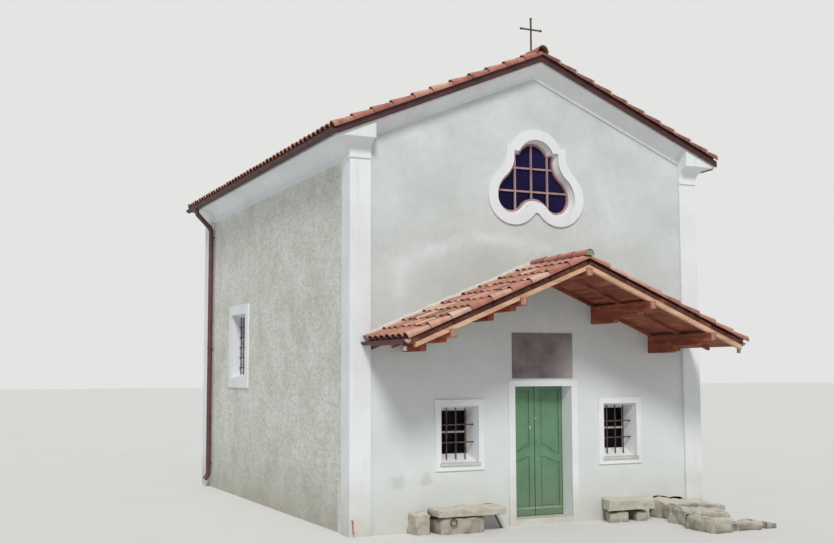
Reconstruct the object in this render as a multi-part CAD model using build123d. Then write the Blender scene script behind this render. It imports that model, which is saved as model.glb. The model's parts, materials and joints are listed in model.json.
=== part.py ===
from build123d import *
import math
import os

# A small rendered chapel with a tiled gable roof and a timber porch canopy.
# Millimetres. X runs along the front, Y from the front to the back, Z up from the ground.
# The origin is on the ground at the middle of the nave's plan, and the front faces -Y.

# Nave walls
half_width = 3150
nave_length = 8640
wall_thickness = 550
gable_apex = 7369
roof_slope = 0.4205

# Corner pilasters
pilaster_width = 340
pilaster_proud = 50

# Cove cornice
cornice_height = 284
cornice_lip_drop = 33
cornice_fillet_height = 35
cornice_fillet_out = 72
cornice_recess_height = 20
cornice_recess_out = 56
side_cornice_reach = 314
front_cornice_reach = 264
cornice_lip = 18
rake_height = 232
rake_fillet_height = 26
rake_fillet_out = 28
rake_recess_out = 18
rake_cove_drop = 34

# Main roof
deck_thickness = 80
deck_eave_reach = 330
deck_verge_reach = 290
deck_rear_reach = 90
flashing_thickness = 12
flashing_height = 105
tile_low = 82
tile_step = 26
tile_crown = 92
tile_eave_reach = 400
tile_verge_reach = 352
tile_rear_reach = 145
ridge_tile_radius = 108
ridge_tile_centre_drop = 38

# Barrel tiles of both roofs
tile_course_length = 350
tile_bed = 30
cover_pitch = 200
cover_half_width = 80
verge_cover_half = 88
cover_sides = 4

# Roof timbers inside
roof_beam_width = 180
roof_beam_height = 220
roof_beam_bearing = 200
roof_purlins = 2

# Eaves gutters and downpipes
gutter_radius = 66
gutter_wall = 4
gutter_rim_drop = 18
right_gutter_reach = 60
downpipe_radius = 50
downpipe_stand_off = 72
downpipe_from_back = 550
downpipe_foot = 160
downpipe_foot_turn = 75
downpipe_foot_rise = 90
downpipe_clear = 0.3
swan_neck_drop = 90
swan_neck_height = 330
pipe_bend_cut = 40
pipe_brackets = 3
bracket_above_foot = 330
bracket_under_gutter = 600
bracket_width = 30

# Cross on the ridge
cross_y_from_front = 30
cross_height = 535
cross_sink = 30
cross_arm_drop = 180
cross_arm_span = 370
cross_bar = 22
cross_knob_radius = 19
cross_knob_bevel = 11

# Doorway and its leaves
door_centre = 120
door_width = 1040
door_top = 2160
door_band = 115
door_head_band = 95
surround_proud = 25
threshold_height = 96
threshold_front = 15
floor_drop = 6
leaf_setback = 275
leaf_thickness = 45
leaf_lap = 30
leaf_clear = 5
leaf_bottom_clear = 8
leaf_side_clear = 35
meeting_gap = 6
meeting_bevel = 3
meeting_stile = 95
hinge_stile = 90
bottom_rail = 120
top_rail = 90
panel_recess = 11
field_margin = 38
field_rise = 7
lower_panel_side = 834
lower_panel_peak = 934
upper_panel_side = 959
upper_panel_peak = 1089
ogee_start = 0.42
ogee_end = 0.5

# Strap hinges
hinge_heights = (430, 1780)
knuckle_radius = 12
knuckle_gap = 3
knuckle_bore = 7.3
knuckle_height = 60
pin_radius = 7
pintle_seat = 0.3
pintle_arm_height = 18
strap_thickness = 5
strap_length = 340
strap_height = 42
hinge_axis_out = 10

# Front windows
window_offsets = (-1492, 1452)
window_width = 640
window_bottom = 988
window_height = 883
window_band = 97
window_splay = 38
window_head_drop = 75
window_sill_rise = 135
window_frame_depth = 300
window_frame_thickness = 45
window_frame_bar = 45
window_glazing_bar = 28
window_bar_setback = 6
window_frame_lap = 40
sill_overhang = 25
sill_height = 45
sill_out = 48
sill_in = 90
glass_thickness = 6
fit_clear = 0.3

# Side windows
side_window_from_front = 6060
side_window_width = 960
side_window_bottom = 2290
side_window_height = 1240
side_window_band = 190

# Heart-shaped gable window
heart_x = 40
heart_drop = 1579
heart_head_radius = 340
heart_step_rise = 140
heart_step_x = 410
heart_step_height = 90
heart_step_spread = 0.82
heart_step_lift = 0.55
heart_lobe_x = 420
heart_lobe_drop = 595
heart_lobe_radius = 295
heart_notch_drop = 681
heart_band = 170
heart_band_proud = 35
heart_splay = 40
heart_frame_setback = 90
heart_frame_thickness = 50
heart_frame_width = 34
heart_bar_width = 28
heart_bar_setback = 8
heart_bar_spacing = 302
heart_bar_shift = -26
heart_bar_drops = (115, 494)
heart_frame_lap = 30

# Bare panel over the door
plaque_width = 1117
plaque_gap = 30
plaque_height = 720
plaque_proud = 8

# Porch canopy
canopy_x = -28
canopy_slope = 0.413
canopy_projection = 1604
canopy_apex = 3957
canopy_eave_gap = 50
canopy_board_overhang = 52
canopy_tile_overhang = 63
canopy_verge_overhang = 36
rafter_depth = 62
rafter_width = 72
purlin_width = 100
purlin_height = 112
purlin_share = 0.4
purlin_notch = 16
purlin_bearing = 220
purlin_end_proud = 22
long_corbel_length = 1320
long_corbel_height = 62
short_corbel_length = 640
short_corbel_height = 110
corbel_nose = 43
canopy_board_thickness = 88
canopy_tile_low = 70
canopy_tile_step = 24
canopy_tile_crown = 80
canopy_ridge_radius = 76
canopy_ridge_drop = 10
canopy_gutter_radius = 52
canopy_gutter_gap = 30
right_canopy_gutter_set_back = 160
gutter_bracket_width = 30
gutter_bracket_height = 20
gutter_bracket_drop = 10
spout_radius = 28
spout_length = 110
spout_lap = 2

# Stone benches and stones at the foot of the front
bench_depth = 460
left_bench = (-1950, -770)
left_bench_top = 390
left_bench_thickness = 135
right_bench = (970, 1950)
right_bench_top = 375
right_bench_thickness = 180
right_bench_slant = 190
bench_block_depth = 420
left_block = (-1900, -1090)
end_block = (-2270, -1955)
end_block_depth = 330
end_block_height = 330
right_blocks = ((1030, 1455), (1600, 1860))
stone_round = 35

# Rough stones that run forward beside the right bench
edge_stones = 3
edge_row_x = 2207
edge_row_lean = 0.274
edge_stone_depth = 700
edge_stone_width = 1120
edge_stone_narrowing = 320
edge_stone_height = 360
edge_stone_lowering = 35
outer_stones = 2
outer_stone_back = 1600
outer_stone_depth = 440
outer_stone_width = 570
outer_stone_shrink = 0.57
outer_stone_height = 190
stone_gap = 0.5
stone_corner = 90
stone_batter = 45
stone_fall = 0.13

# Ironwork at the foot of the front
ring_x = -1690
ring_z = 175
ring_radius = 52
ring_bar = 8
scraper_x = -843
scraper_lean = 139
scraper_bar = 22
scraper_foot = 18
scraper_from_wall = 90
hook_from_corner = 40
hook_z = 60
hook_height = 180
hook_bar = 16
hook_arm = 40
hook_reach = 55
hook_toe = 25
hook_toe_rise = 20

# Values worked out from the sizes above
front_y = -nave_length / 2
back_y = nave_length / 2
inner_half_width = half_width - wall_thickness
pilaster_face = half_width + pilaster_proud
pilaster_inner = pilaster_face - pilaster_width
cove_top = gable_apex - roof_slope * (half_width + side_cornice_reach) - cornice_lip_drop
capital_bottom = cove_top - cornice_height
deck_rise = deck_thickness * math.hypot(1, roof_slope)
deck_top_apex = gable_apex + deck_rise
door_left = door_centre - door_width / 2
door_right = door_centre + door_width / 2
leaf_face = front_y + leaf_setback + leaf_clear
leaf_back = leaf_face + leaf_thickness
rebate_half = door_width / 2 + leaf_side_clear + leaf_lap
rebate_top = door_top + leaf_lap
hinge_y = leaf_back + hinge_axis_out
hinge_half = door_width / 2 + leaf_lap + knuckle_radius + knuckle_gap
leaf_bottom = threshold_height + leaf_bottom_clear
gutter_x = half_width + deck_eave_reach + gutter_radius + fit_clear
heart_head_z = gable_apex - heart_drop
heart_step_z = heart_head_z + heart_step_rise
heart_lobe_z = heart_head_z - heart_lobe_drop
heart_notch_z = heart_head_z - heart_notch_drop
plaque_bottom = door_top + door_head_band + plaque_gap
canopy_rafter_reach = pilaster_inner - canopy_eave_gap
canopy_board_reach = canopy_rafter_reach + canopy_board_overhang
canopy_tile_reach = canopy_board_reach + canopy_tile_overhang
canopy_gutter_offset = canopy_board_reach + canopy_gutter_gap + canopy_gutter_radius


def block(x0, x1, y0, y1, z0, z1):
    """A rectangular block between two corners."""
    centre = ((x0 + x1) / 2, (y0 + y1) / 2, (z0 + z1) / 2)
    return Pos(*centre) * Box(abs(x1 - x0), abs(y1 - y0), abs(z1 - z0))


def prism_y(points, y0, y1):
    """An outline of X, Z points carried from one Y to another."""
    outline = Wire.make_polygon([(x, y0, z) for x, z in points], close=True)
    return Solid.extrude(Face(outline), Vector(0, y1 - y0, 0))


def rectangle(x0, x1, z0, z1, y):
    """The corners of an upright rectangle at Y."""
    return [(x0, y, z0), (x1, y, z0), (x1, y, z1), (x0, y, z1)]


def funnel(mouth, throat):
    """The flat-sided solid between two outlines with the same number of corners."""
    faces = [Face(Wire.make_polygon(ring, close=True)) for ring in (mouth, throat)]
    for index, start in enumerate(mouth):
        after = (index + 1) % len(mouth)
        side = [start, mouth[after], throat[after], throat[index]]
        faces.append(Face(Wire.make_polygon(side, close=True)))
    return Solid(Shell(faces))


def joined(*pieces):
    """The pieces fused into one shape."""
    whole = pieces[0]
    for piece in pieces[1:]:
        whole = whole + piece
    return whole


def cut(shape, *tools):
    """The shape with each tool taken away."""
    for tool in tools:
        shape = shape - tool
    return shape


def save(name, *shapes):
    """Writes one sub-part as a STEP file."""
    solids = []
    for shape in shapes:
        solids.extend(shape.solids())
    part = Compound(children=solids) if len(solids) > 1 else solids[0]
    part.label = name
    export_step(part, f"parts/{name}.step")


def roof_z(x, apex=gable_apex, slope=roof_slope):
    """Height of a gable line at X."""
    return apex - slope * abs(x)


def over_roof(y0, y1):
    """Everything above the main roof's underside."""
    reach = half_width + 2 * side_cornice_reach
    points = [(-reach, roof_z(reach)), (0, gable_apex), (reach, roof_z(reach))]
    points += [(reach, gable_apex + reach), (-reach, gable_apex + reach)]
    return prism_y(points, y0, y1)


def mirrored(shape):
    """The shape on the other side of the gable axis."""
    return shape.mirror(Plane.YZ)


# Heart-shaped window


def heart_face(grow, y):
    """The heart's outline, grown or shrunk by one amount, as a face at Y."""
    head = heart_head_radius + grow
    lobe = heart_lobe_radius + grow
    step_z = heart_step_z + heart_step_lift * grow
    step_x = heart_step_x + heart_step_spread * grow
    drop = heart_notch_z - heart_lobe_z + heart_lobe_radius
    hill_gap = (heart_lobe_x**2 - drop**2) / (2 * drop)
    hill_z = heart_lobe_z - hill_gap
    hill = heart_notch_z - hill_z - grow
    step_in = math.sqrt(head**2 - (step_z - heart_head_z) ** 2)
    widest = heart_lobe_x + lobe

    def at(x, z):
        return Vector(heart_x + x, y, z)

    def around(cx, cz, radius, angle):
        turn = math.radians(angle)
        return at(cx + radius * math.cos(turn), cz + radius * math.sin(turn))

    lean = math.degrees(math.atan2(hill_gap, heart_lobe_x))
    step_angle = math.degrees(math.asin((step_z - heart_head_z) / head))
    join_angle = -180 + lean
    shoulder = at(step_x, step_z - heart_step_height)
    waist = at((step_x + widest) / 2, (step_z - heart_step_height + heart_lobe_z) / 2)
    down = Vector(0, 0, -1)
    edges = [
        Edge.make_three_point_arc(
            at(0, heart_head_z + head),
            around(0, heart_head_z, head, (90 + step_angle) / 2),
            at(step_in, step_z),
        ),
        Edge.make_line(at(step_in, step_z), at(step_x, step_z)),
        Edge.make_line(at(step_x, step_z), shoulder),
        Edge.make_tangent_arc(shoulder, down, waist),
        Edge.make_tangent_arc(at(widest, heart_lobe_z), -down, waist),
        Edge.make_three_point_arc(
            at(widest, heart_lobe_z),
            around(heart_lobe_x, heart_lobe_z, lobe, join_angle / 2),
            around(heart_lobe_x, heart_lobe_z, lobe, join_angle),
        ),
        Edge.make_three_point_arc(
            around(0, hill_z, hill, lean),
            around(0, hill_z, hill, (90 + lean) / 2),
            at(0, hill_z + hill),
        ),
    ]
    axis = Plane(origin=(heart_x, 0, 0), z_dir=(1, 0, 0))
    edges += [edge.mirror(axis) for edge in reversed(edges)]
    return Face(Wire(edges))


def heart_prism(grow, y0, y1):
    """The heart outline carried from one Y to another."""
    return Solid.extrude(heart_face(grow, y0), Vector(0, y1 - y0, 0))


def heart_rebate(grow):
    """Left, right, low and high edge of an oblong round the reveal's inner end."""
    reach = heart_lobe_x + heart_lobe_radius - heart_splay + grow
    low = heart_lobe_z - heart_lobe_radius + heart_splay - grow
    high = heart_head_z + heart_head_radius - heart_splay + grow
    return heart_x - reach, heart_x + reach, low, high


def heart_hole():
    """The splayed reveal in front and the oblong rebate behind it."""
    frame_y = front_y + heart_frame_setback
    start = heart_face(0, front_y - 1).outer_wire()
    end = heart_face(-heart_splay, frame_y).outer_wire()
    splay = Solid.make_loft([start, end], ruled=True)
    x0, x1, z0, z1 = heart_rebate(heart_frame_lap)
    behind = block(x0, x1, frame_y, front_y + wall_thickness + 10, z0, z1)
    return splay + behind


def heart_surround():
    """The painted moulding round the heart window."""
    band = heart_prism(heart_band, front_y - heart_band_proud, front_y)
    return band - heart_prism(0, front_y - 2 * heart_band_proud, front_y + 1)


def heart_frame():
    """An oblong timber frame with the heart cut out, and its glazing bars."""
    y0 = front_y + heart_frame_setback
    y1 = y0 + heart_frame_thickness
    x0, x1, z0, z1 = heart_rebate(heart_frame_lap - fit_clear)
    board = block(x0, x1, y0, y1, z0, z1)
    frame = board - heart_prism(-heart_splay - heart_frame_width, y0 - 1, y1 + 1)
    half = heart_bar_width / 2
    face = y0 + heart_bar_setback
    back = y1 - heart_bar_setback
    for step in (-1, 0, 1):
        x = heart_x + heart_bar_shift + step * heart_bar_spacing
        frame += block(x - half, x + half, face, back, z0 + half, z1 - half)
    for drop in heart_bar_drops:
        z = heart_head_z - drop
        frame += block(x0 + half, x1 - half, face, back, z - half, z + half)
    return frame


def heart_glass():
    """The pane on the back of the frame."""
    y0 = front_y + heart_frame_setback + heart_frame_thickness
    x0, x1, z0, z1 = heart_rebate(0)
    return block(x0, x1, y0, y0 + glass_thickness, z0, z1)


# Rectangular windows in a wall whose outer face is at Y = front


def window_throat(centre, width, bottom, height, grow):
    """Left, right, low and high edge of the splay's inner end, grown by an amount."""
    inner = width / 2 - window_splay + grow
    low = bottom + window_sill_rise - grow
    high = bottom + height - window_head_drop + grow
    return centre - inner, centre + inner, low, high


def window_opening(centre, width, bottom, height):
    """A splayed opening with a rising sill, then a wider rebate behind the frame."""
    half = width / 2
    y = front_y + window_frame_depth
    mouth = rectangle(centre - half, centre + half, bottom, bottom + height, front_y - 1)
    throat = rectangle(*window_throat(centre, width, bottom, height, 0), y)
    x0, x1, z0, z1 = window_throat(centre, width, bottom, height, window_frame_lap)
    rebate = block(x0, x1, y, front_y + wall_thickness + 10, z0, z1)
    return funnel(mouth, throat) + rebate


def window_frame(centre, width, bottom, height, bars_up, bars_across):
    """A timber frame with its bars, set in the rebate behind the splay."""
    lap = window_frame_lap - fit_clear
    x0, x1, z0, z1 = window_throat(centre, width, bottom, height, lap)
    y0 = front_y + window_frame_depth
    y1 = y0 + window_frame_thickness
    edge = window_frame_bar
    face = y0 + window_bar_setback
    frame = block(x0, x1, y0, y1, z0, z1)
    frame -= block(x0 + edge, x1 - edge, y0 - 1, y1 + 1, z0 + edge, z1 - edge)
    half = window_glazing_bar / 2
    for index in range(1, bars_up + 1):
        x = x0 + (x1 - x0) * index / (bars_up + 1)
        frame += block(x - half, x + half, face, y1, z0 + half, z1 - half)
    for index in range(1, bars_across + 1):
        z = z0 + (z1 - z0) * index / (bars_across + 1)
        frame += block(x0 + half, x1 - half, face, y1, z - half, z + half)
    return frame


def window_pane(centre, width, bottom, height):
    """The glass on the back of the frame."""
    lap = window_frame_lap - window_frame_bar / 3
    x0, x1, z0, z1 = window_throat(centre, width, bottom, height, lap)
    y0 = front_y + window_frame_depth + window_frame_thickness
    return block(x0, x1, y0, y0 + glass_thickness, z0, z1)


def window_surround(centre, width, bottom, height, band):
    """The painted band round an opening, proud of the wall."""
    half = width / 2
    y0 = front_y - surround_proud
    outside = block(
        centre - half - band,
        centre + half + band,
        y0,
        front_y,
        bottom - band,
        bottom + height + band,
    )
    return outside - block(
        centre - half, centre + half, y0 - 1, front_y + 1, bottom, bottom + height
    )


def window_sill(centre, width, bottom):
    """A small stone ledge let into the foot of the opening."""
    half = width / 2 + sill_overhang
    z0 = bottom - sill_height / 2
    return block(
        centre - half,
        centre + half,
        front_y - sill_out,
        front_y + sill_in,
        z0,
        z0 + sill_height,
    )


def to_left_wall(shape):
    """Turns a piece of the front so that it sits in the left wall."""
    return Pos(-half_width, 0, 0) * (Rot(0, 0, -90) * (Pos(0, -front_y, 0) * shape))


def side_piece(make, *sizes):
    """A window piece in the left wall, and the same in the right wall."""
    centre = -(front_y + side_window_from_front)
    left = to_left_wall(make(centre, *sizes))
    return left, mirrored(left)


front_window_centres = tuple(door_centre + out for out in window_offsets)
front_window = (window_width, window_bottom, window_height)
side_window = (side_window_width, side_window_bottom, side_window_height)


# Masonry


def doorway():
    """The door opening: a narrow outer reveal and a wider rebate behind it."""
    outer = block(
        door_left, door_right, front_y - 1, front_y + leaf_setback, -1, door_top
    )
    rebate = block(
        door_centre - rebate_half,
        door_centre + rebate_half,
        front_y + leaf_setback,
        front_y + wall_thickness + 1,
        -1,
        rebate_top,
    )
    return outer + rebate


def front_wall():
    """The front wall in three pieces: beside the doorway and over it."""
    inner_y = front_y + wall_thickness
    left = block(-half_width, door_centre, front_y, inner_y, 0, rebate_top)
    right = block(door_centre, half_width, front_y, inner_y, 0, rebate_top)
    openings = [window_opening(x, *front_window) for x in front_window_centres]
    sills = [window_sill(x, window_width, window_bottom) for x in front_window_centres]
    left = cut(left, doorway(), openings[0], sills[0])
    right = cut(right, doorway(), openings[1], sills[1])
    head = block(
        door_left, door_right, front_y, front_y + leaf_setback, door_top, rebate_top
    )
    left -= head
    right -= head
    gable = prism_y(
        [
            (-half_width, rebate_top),
            (half_width, rebate_top),
            (half_width, roof_z(half_width)),
            (0, gable_apex),
            (-half_width, roof_z(half_width)),
        ],
        front_y,
        inner_y,
    )
    gable = cut(gable, heart_hole())
    gable = cut(gable, *canopy_purlins(), *canopy_corbels(), *roof_beams())
    gable += head
    return left, right, gable


def side_walls():
    """The left and right walls between the end walls, up to the roof's slope."""
    opening = side_piece(window_opening, *side_window)[0]
    points = [
        (-half_width, 0),
        (-inner_half_width, 0),
        (-inner_half_width, roof_z(inner_half_width)),
        (-half_width, roof_z(half_width)),
    ]
    wall = prism_y(points, front_y + wall_thickness, back_y - wall_thickness)
    left = wall - opening
    return left, mirrored(left)


def back_wall():
    """The plain end wall with its gable."""
    points = [
        (-half_width, 0),
        (half_width, 0),
        (half_width, roof_z(half_width)),
        (0, gable_apex),
        (-half_width, roof_z(half_width)),
    ]
    return cut(prism_y(points, back_y - wall_thickness, back_y), *roof_beams())


def floor_slab():
    """The floor inside the walls."""
    return block(
        -inner_half_width,
        inner_half_width,
        front_y + wall_thickness,
        back_y - wall_thickness,
        0,
        threshold_height - floor_drop,
    )


def corner_pilasters():
    """Four L-shaped strips that wrap the corners up to the capitals."""
    pieces = []
    for side in (-1, 1):
        for end in (-1, 1):
            outer_x = side * pilaster_face
            outer_y = end * (back_y + pilaster_proud)
            inner_x = side * pilaster_inner
            inner_y = outer_y - end * pilaster_width
            whole = block(inner_x, outer_x, inner_y, outer_y, 0, capital_bottom)
            core = block(0, side * half_width, 0, end * back_y, -1, capital_bottom + 1)
            pieces.append(whole - core)
    return pieces


def cove_face(points, reach, roof, place):
    """The cornice profile as a face: points are out and up, place maps them to space."""
    edges = [Edge.make_line(place(*a), place(*b)) for a, b in zip(points, points[1:-1])]
    foot, head = points[-2], points[-1]
    across = head[0] - foot[0]
    rise = head[1] - foot[1]
    middle = (
        head[0] - across * math.cos(math.pi / 4),
        foot[1] + rise * math.sin(math.pi / 4),
    )
    edges.append(Edge.make_three_point_arc(place(*foot), place(*middle), place(*head)))
    rest = [head, (reach, head[1]), (reach, roof), (0, roof), points[0]]
    edges += [Edge.make_line(place(*a), place(*b)) for a, b in zip(rest, rest[1:])]
    return Face(Wire(edges))


def eaves_profile(reach):
    """Out and up points of the cornice under the eaves, to the two ends of its cove."""
    fillet_top = capital_bottom + cornice_fillet_height
    return [
        (0, capital_bottom),
        (cornice_fillet_out, capital_bottom),
        (cornice_fillet_out, fillet_top),
        (cornice_recess_out, fillet_top),
        (cornice_recess_out, fillet_top + cornice_recess_height),
        (reach - cornice_lip, cove_top),
    ]


def rake_profile():
    """Out and up points of the gable's cornice on the axis, to the ends of its cove."""
    low = gable_apex - rake_height
    fillet_top = low + rake_fillet_height
    return [
        (0, low),
        (rake_fillet_out, low),
        (rake_fillet_out, fillet_top),
        (rake_recess_out, fillet_top),
        (front_cornice_reach - cornice_lip, gable_apex - rake_cove_drop),
    ]


def right_cornice():
    """The cove cornice of the right side, returned over the front pilaster as a capital."""
    roof = gable_apex
    ends = front_cornice_reach
    rear = back_y + pilaster_proud

    def along(out, up):
        return Vector(half_width + out, front_y - ends, up)

    side = Solid.extrude(
        cove_face(eaves_profile(side_cornice_reach), side_cornice_reach, roof, along),
        Vector(0, rear - front_y + ends, 0),
    )
    side += block(
        pilaster_inner, half_width, front_y - ends, rear, capital_bottom, roof
    )

    def across(out, up):
        return Vector(pilaster_inner, front_y - out, up)

    front = Solid.extrude(
        cove_face(eaves_profile(ends), ends, roof, across),
        Vector(pilaster_width + side_cornice_reach, 0, 0),
    )
    behind = block(
        pilaster_inner,
        pilaster_face + side_cornice_reach,
        front_y,
        rear,
        capital_bottom,
        roof,
    )
    cornice = side & joined(front, behind)
    core = block(0, half_width, front_y, back_y, 0, roof + 1)
    return cut(cornice, core, over_roof(front_y - 2 * ends, rear + 1))


def raking_cornice_right():
    """The cove cornice of the right half of the front gable, mitred on the axis."""

    def place(out, up):
        return Vector(0, front_y - out, up)

    face = cove_face(rake_profile(), front_cornice_reach, gable_apex, place)
    climb = Vector(pilaster_inner, 0, -pilaster_inner * roof_slope)
    return Solid.extrude(face, climb)


# Main roof


def roof_beams():
    """The ridge beam and the purlins of both slopes, borne by the gable walls."""
    y0 = front_y + wall_thickness - roof_beam_bearing
    y1 = back_y - wall_thickness + roof_beam_bearing
    half = roof_beam_width / 2
    low = gable_apex - roof_beam_height
    ridge = block(-half, half, y0, y1, low, gable_apex + 1) - over_roof(y0 - 1, y1 + 1)
    beams = [ridge]
    for index in range(1, roof_purlins + 1):
        x = inner_half_width * index / (roof_purlins + 1)
        top = roof_z(x - half)
        beam = block(x - half, x + half, y0, y1, top - roof_beam_height, top)
        beam -= over_roof(y0 - 1, y1 + 1)
        beams += [beam, mirrored(beam)]
    return beams


def deck_right():
    """The boarded deck of the right slope."""
    edge = half_width + deck_eave_reach
    points = [
        (0, gable_apex),
        (edge, roof_z(edge)),
        (edge, roof_z(edge, deck_top_apex)),
        (0, deck_top_apex),
    ]
    return prism_y(points, front_y - deck_verge_reach, back_y + deck_rear_reach)


def flashings_right():
    """Dark sheet metal strips over the ends of the right deck on both gables."""
    edge = half_width + deck_eave_reach
    front = front_y - deck_verge_reach
    rear = back_y + deck_rear_reach
    low = deck_rise - flashing_height
    points = [
        (0, deck_top_apex),
        (edge, roof_z(edge, deck_top_apex)),
        (edge, roof_z(edge, gable_apex + low)),
        (0, gable_apex + low),
    ]
    return (
        prism_y(points, front - flashing_thickness, front),
        prism_y(points, rear, rear + flashing_thickness),
    )


def course_outline(edge, base_apex, slope, low, step):
    """A right slope's rows of covers from the side: each course laps over the one below."""
    angle = math.atan(slope)
    length = edge / math.cos(angle)
    count = max(1, round(length / tile_course_length))
    base = Vector(edge, base_apex - slope * edge)
    along = Vector(-math.cos(angle), math.sin(angle))
    out = Vector(math.sin(angle), math.cos(angle))
    points = [base]
    for index in range(count):
        foot = base + along * (length * index / count)
        head = base + along * (length * (index + 1) / count)
        points.append(foot + out * (low + step))
        points.append(head + out * low)
    points.append(Vector(0, base_apex))
    return [(p.X, p.Y) for p in points]


def cover_rows(y0, y1):
    """Middles of the rows of cover tiles, from one verge to the other."""
    first = y0 + verge_cover_half
    last = y1 - verge_cover_half
    count = round((last - first) / cover_pitch)
    return [first + (last - first) * index / count for index in range(count + 1)]


def cover_arch(y, half, crown):
    """Across and out points over one row of half-round covers, from pan to pan."""
    points = []
    for index in range(cover_sides + 1):
        angle = math.pi * index / cover_sides
        out = tile_bed + (crown - tile_bed) * math.sin(angle)
        points.append((y - half * math.cos(angle), out))
    return points


def run_up(outline, edge, base_apex, slope):
    """An outline of across and out points carried up a right slope from its edge."""
    angle = math.atan(slope)
    foot = Vector(edge, 0, base_apex - slope * edge)
    out = Vector(math.sin(angle), 0, math.cos(angle))
    points = [foot + Vector(0, y, 0) + out * n for y, n in outline]
    up = Vector(-math.cos(angle), 0, math.sin(angle)) * (edge / math.cos(angle))
    return Solid.extrude(Face(Wire.make_polygon(points, close=True)), up)


def tile_layer(edge, base_apex, slope, low, step, crown, y0, y1, ridge_radius):
    """A right slope's barrel tiles up to the ridge row, with lapped covers at both verges."""
    first, *rows, last = cover_rows(y0, y1)
    outline = [(y0, 0), (y0, tile_bed)]
    for y in rows:
        outline += cover_arch(y, cover_half_width, crown)
    outline += [(y1, tile_bed), (y1, 0)]
    layer = run_up(outline, edge, base_apex, slope)
    courses = prism_y(course_outline(edge, base_apex, slope, low, step), y0, y1)
    for y in (first, last):
        arch = cover_arch(y, verge_cover_half, low + step)
        row = [(arch[0][0], 0)] + arch + [(arch[-1][0], 0)]
        layer += run_up(row, edge, base_apex, slope) & courses
    return layer & block(ridge_radius, 2 * edge, y0, y1, 0, 2 * base_apex)


def tiles_right():
    """The covering of the main roof's right slope."""
    return tile_layer(
        half_width + tile_eave_reach,
        deck_top_apex,
        roof_slope,
        tile_low,
        tile_step,
        tile_crown,
        front_y - tile_verge_reach,
        back_y + tile_rear_reach,
        ridge_tile_radius,
    )


def ridge_row(x, radius, centre, apex, slope, y0, y1):
    """Half-round ridge tiles and the mortar that fills under them down to the boards."""
    cap = Pos(x, (y0 + y1) / 2, centre) * Rot(90, 0, 0) * Cylinder(radius, y1 - y0)
    bed = block(x - radius, x + radius, y0, y1, apex - slope * radius, centre)
    low = apex - slope * 2 * radius
    boards = [
        (x - 2 * radius, low - radius),
        (x + 2 * radius, low - radius),
        (x + 2 * radius, low),
        (x, apex),
        (x - 2 * radius, low),
    ]
    return joined(cap, bed) - prism_y(boards, y0 - 1, y1 + 1)


def ridge_tiles():
    """The ridge of the main roof."""
    return ridge_row(
        0,
        ridge_tile_radius,
        ridge_top() - ridge_tile_radius,
        deck_top_apex,
        roof_slope,
        front_y - tile_verge_reach,
        back_y + tile_rear_reach,
    )


def half_pipe(radius, x, rim, y0, y1):
    """A half-round gutter with closed ends."""
    centre = Pos(x, (y0 + y1) / 2, rim) * Rot(90, 0, 0)
    outer = centre * Cylinder(radius, y1 - y0)
    above = block(x - 2 * radius, x + 2 * radius, y0 - 1, y1 + 1, rim, rim + 2 * radius)
    return cut(outer, trough(radius, x, rim, y0, y1), above)


def trough(radius, x, rim, y0, y1):
    """The hollow of a half-round gutter."""
    centre = Pos(x, (y0 + y1) / 2, rim) * Rot(90, 0, 0)
    return centre * Cylinder(radius - gutter_wall, y1 - y0 - 2 * gutter_wall)


def gutter_rim():
    """Height of the eaves gutters' open edge, just under the tiles."""
    edge = half_width + tile_eave_reach
    return roof_z(edge, deck_top_apex) - gutter_rim_drop


def eaves_gutter(reach):
    """The gutter under the right eaves, carried on past the front by its reach."""
    y1 = back_y + tile_rear_reach
    return half_pipe(gutter_radius, gutter_x, gutter_rim(), front_y - reach, y1)


def mitred_path(points, cut_back):
    """A path whose corners are each cut off by a short leg, as sheet metal bends are."""
    corners = [Vector(*point) for point in points]
    path = [corners[0]]
    for before, corner, after in zip(corners, corners[1:], corners[2:]):
        path.append(corner + (before - corner).normalized() * cut_back)
        path.append(corner + (after - corner).normalized() * cut_back)
    path.append(corners[-1])
    return Polyline(*path)


def downpipe_right():
    """The swan neck from the gutter, the pipe on its brackets, and its turned foot."""
    y = back_y - downpipe_from_back
    outlet = gutter_rim() - gutter_radius - downpipe_clear
    wall_x = half_width + downpipe_stand_off
    neck = outlet - swan_neck_drop
    points = [
        (gutter_x, y, outlet),
        (gutter_x, y, neck),
        (wall_x, y, neck - swan_neck_height),
        (wall_x, y, downpipe_foot + downpipe_foot_rise),
        (wall_x + downpipe_foot_turn, y, downpipe_foot),
    ]
    start = Plane(origin=points[0], z_dir=(0, 0, -1))
    pipe = sweep(
        start * Circle(downpipe_radius),
        path=mitred_path(points, pipe_bend_cut),
        transition=Transition.RIGHT,
    )
    first = downpipe_foot + bracket_above_foot
    last = outlet - bracket_under_gutter
    half = bracket_width / 2
    for index in range(pipe_brackets):
        z = first + (last - first) * index / (pipe_brackets - 1)
        pipe += block(half_width, wall_x, y - half, y + half, z - half, z + half)
    return pipe


def roof_cross():
    """An iron cross with knobbed ends, standing on the ridge."""
    y = front_y + cross_y_from_front
    half = cross_bar / 2
    top = ridge_top() + cross_height
    arm_z = top - cross_arm_drop
    post = block(-half, half, y - half, y + half, ridge_top() - cross_sink, top)
    arm_half = cross_arm_span / 2
    arm = block(-arm_half, arm_half, y - half, y + half, arm_z - half, arm_z + half)
    knobs = [
        Pos(x, y, z) * knob(cross_knob_radius)
        for x, z in ((0, top), (-arm_half, arm_z), (arm_half, arm_z))
    ]
    return cut(joined(post, arm, *knobs), ridge_tiles())


def knob(radius):
    """A forged knob with broad bevels."""
    cube = Box(2 * radius, 2 * radius, 2 * radius)
    return chamfer(cube.edges(), length=cross_knob_bevel)


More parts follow.
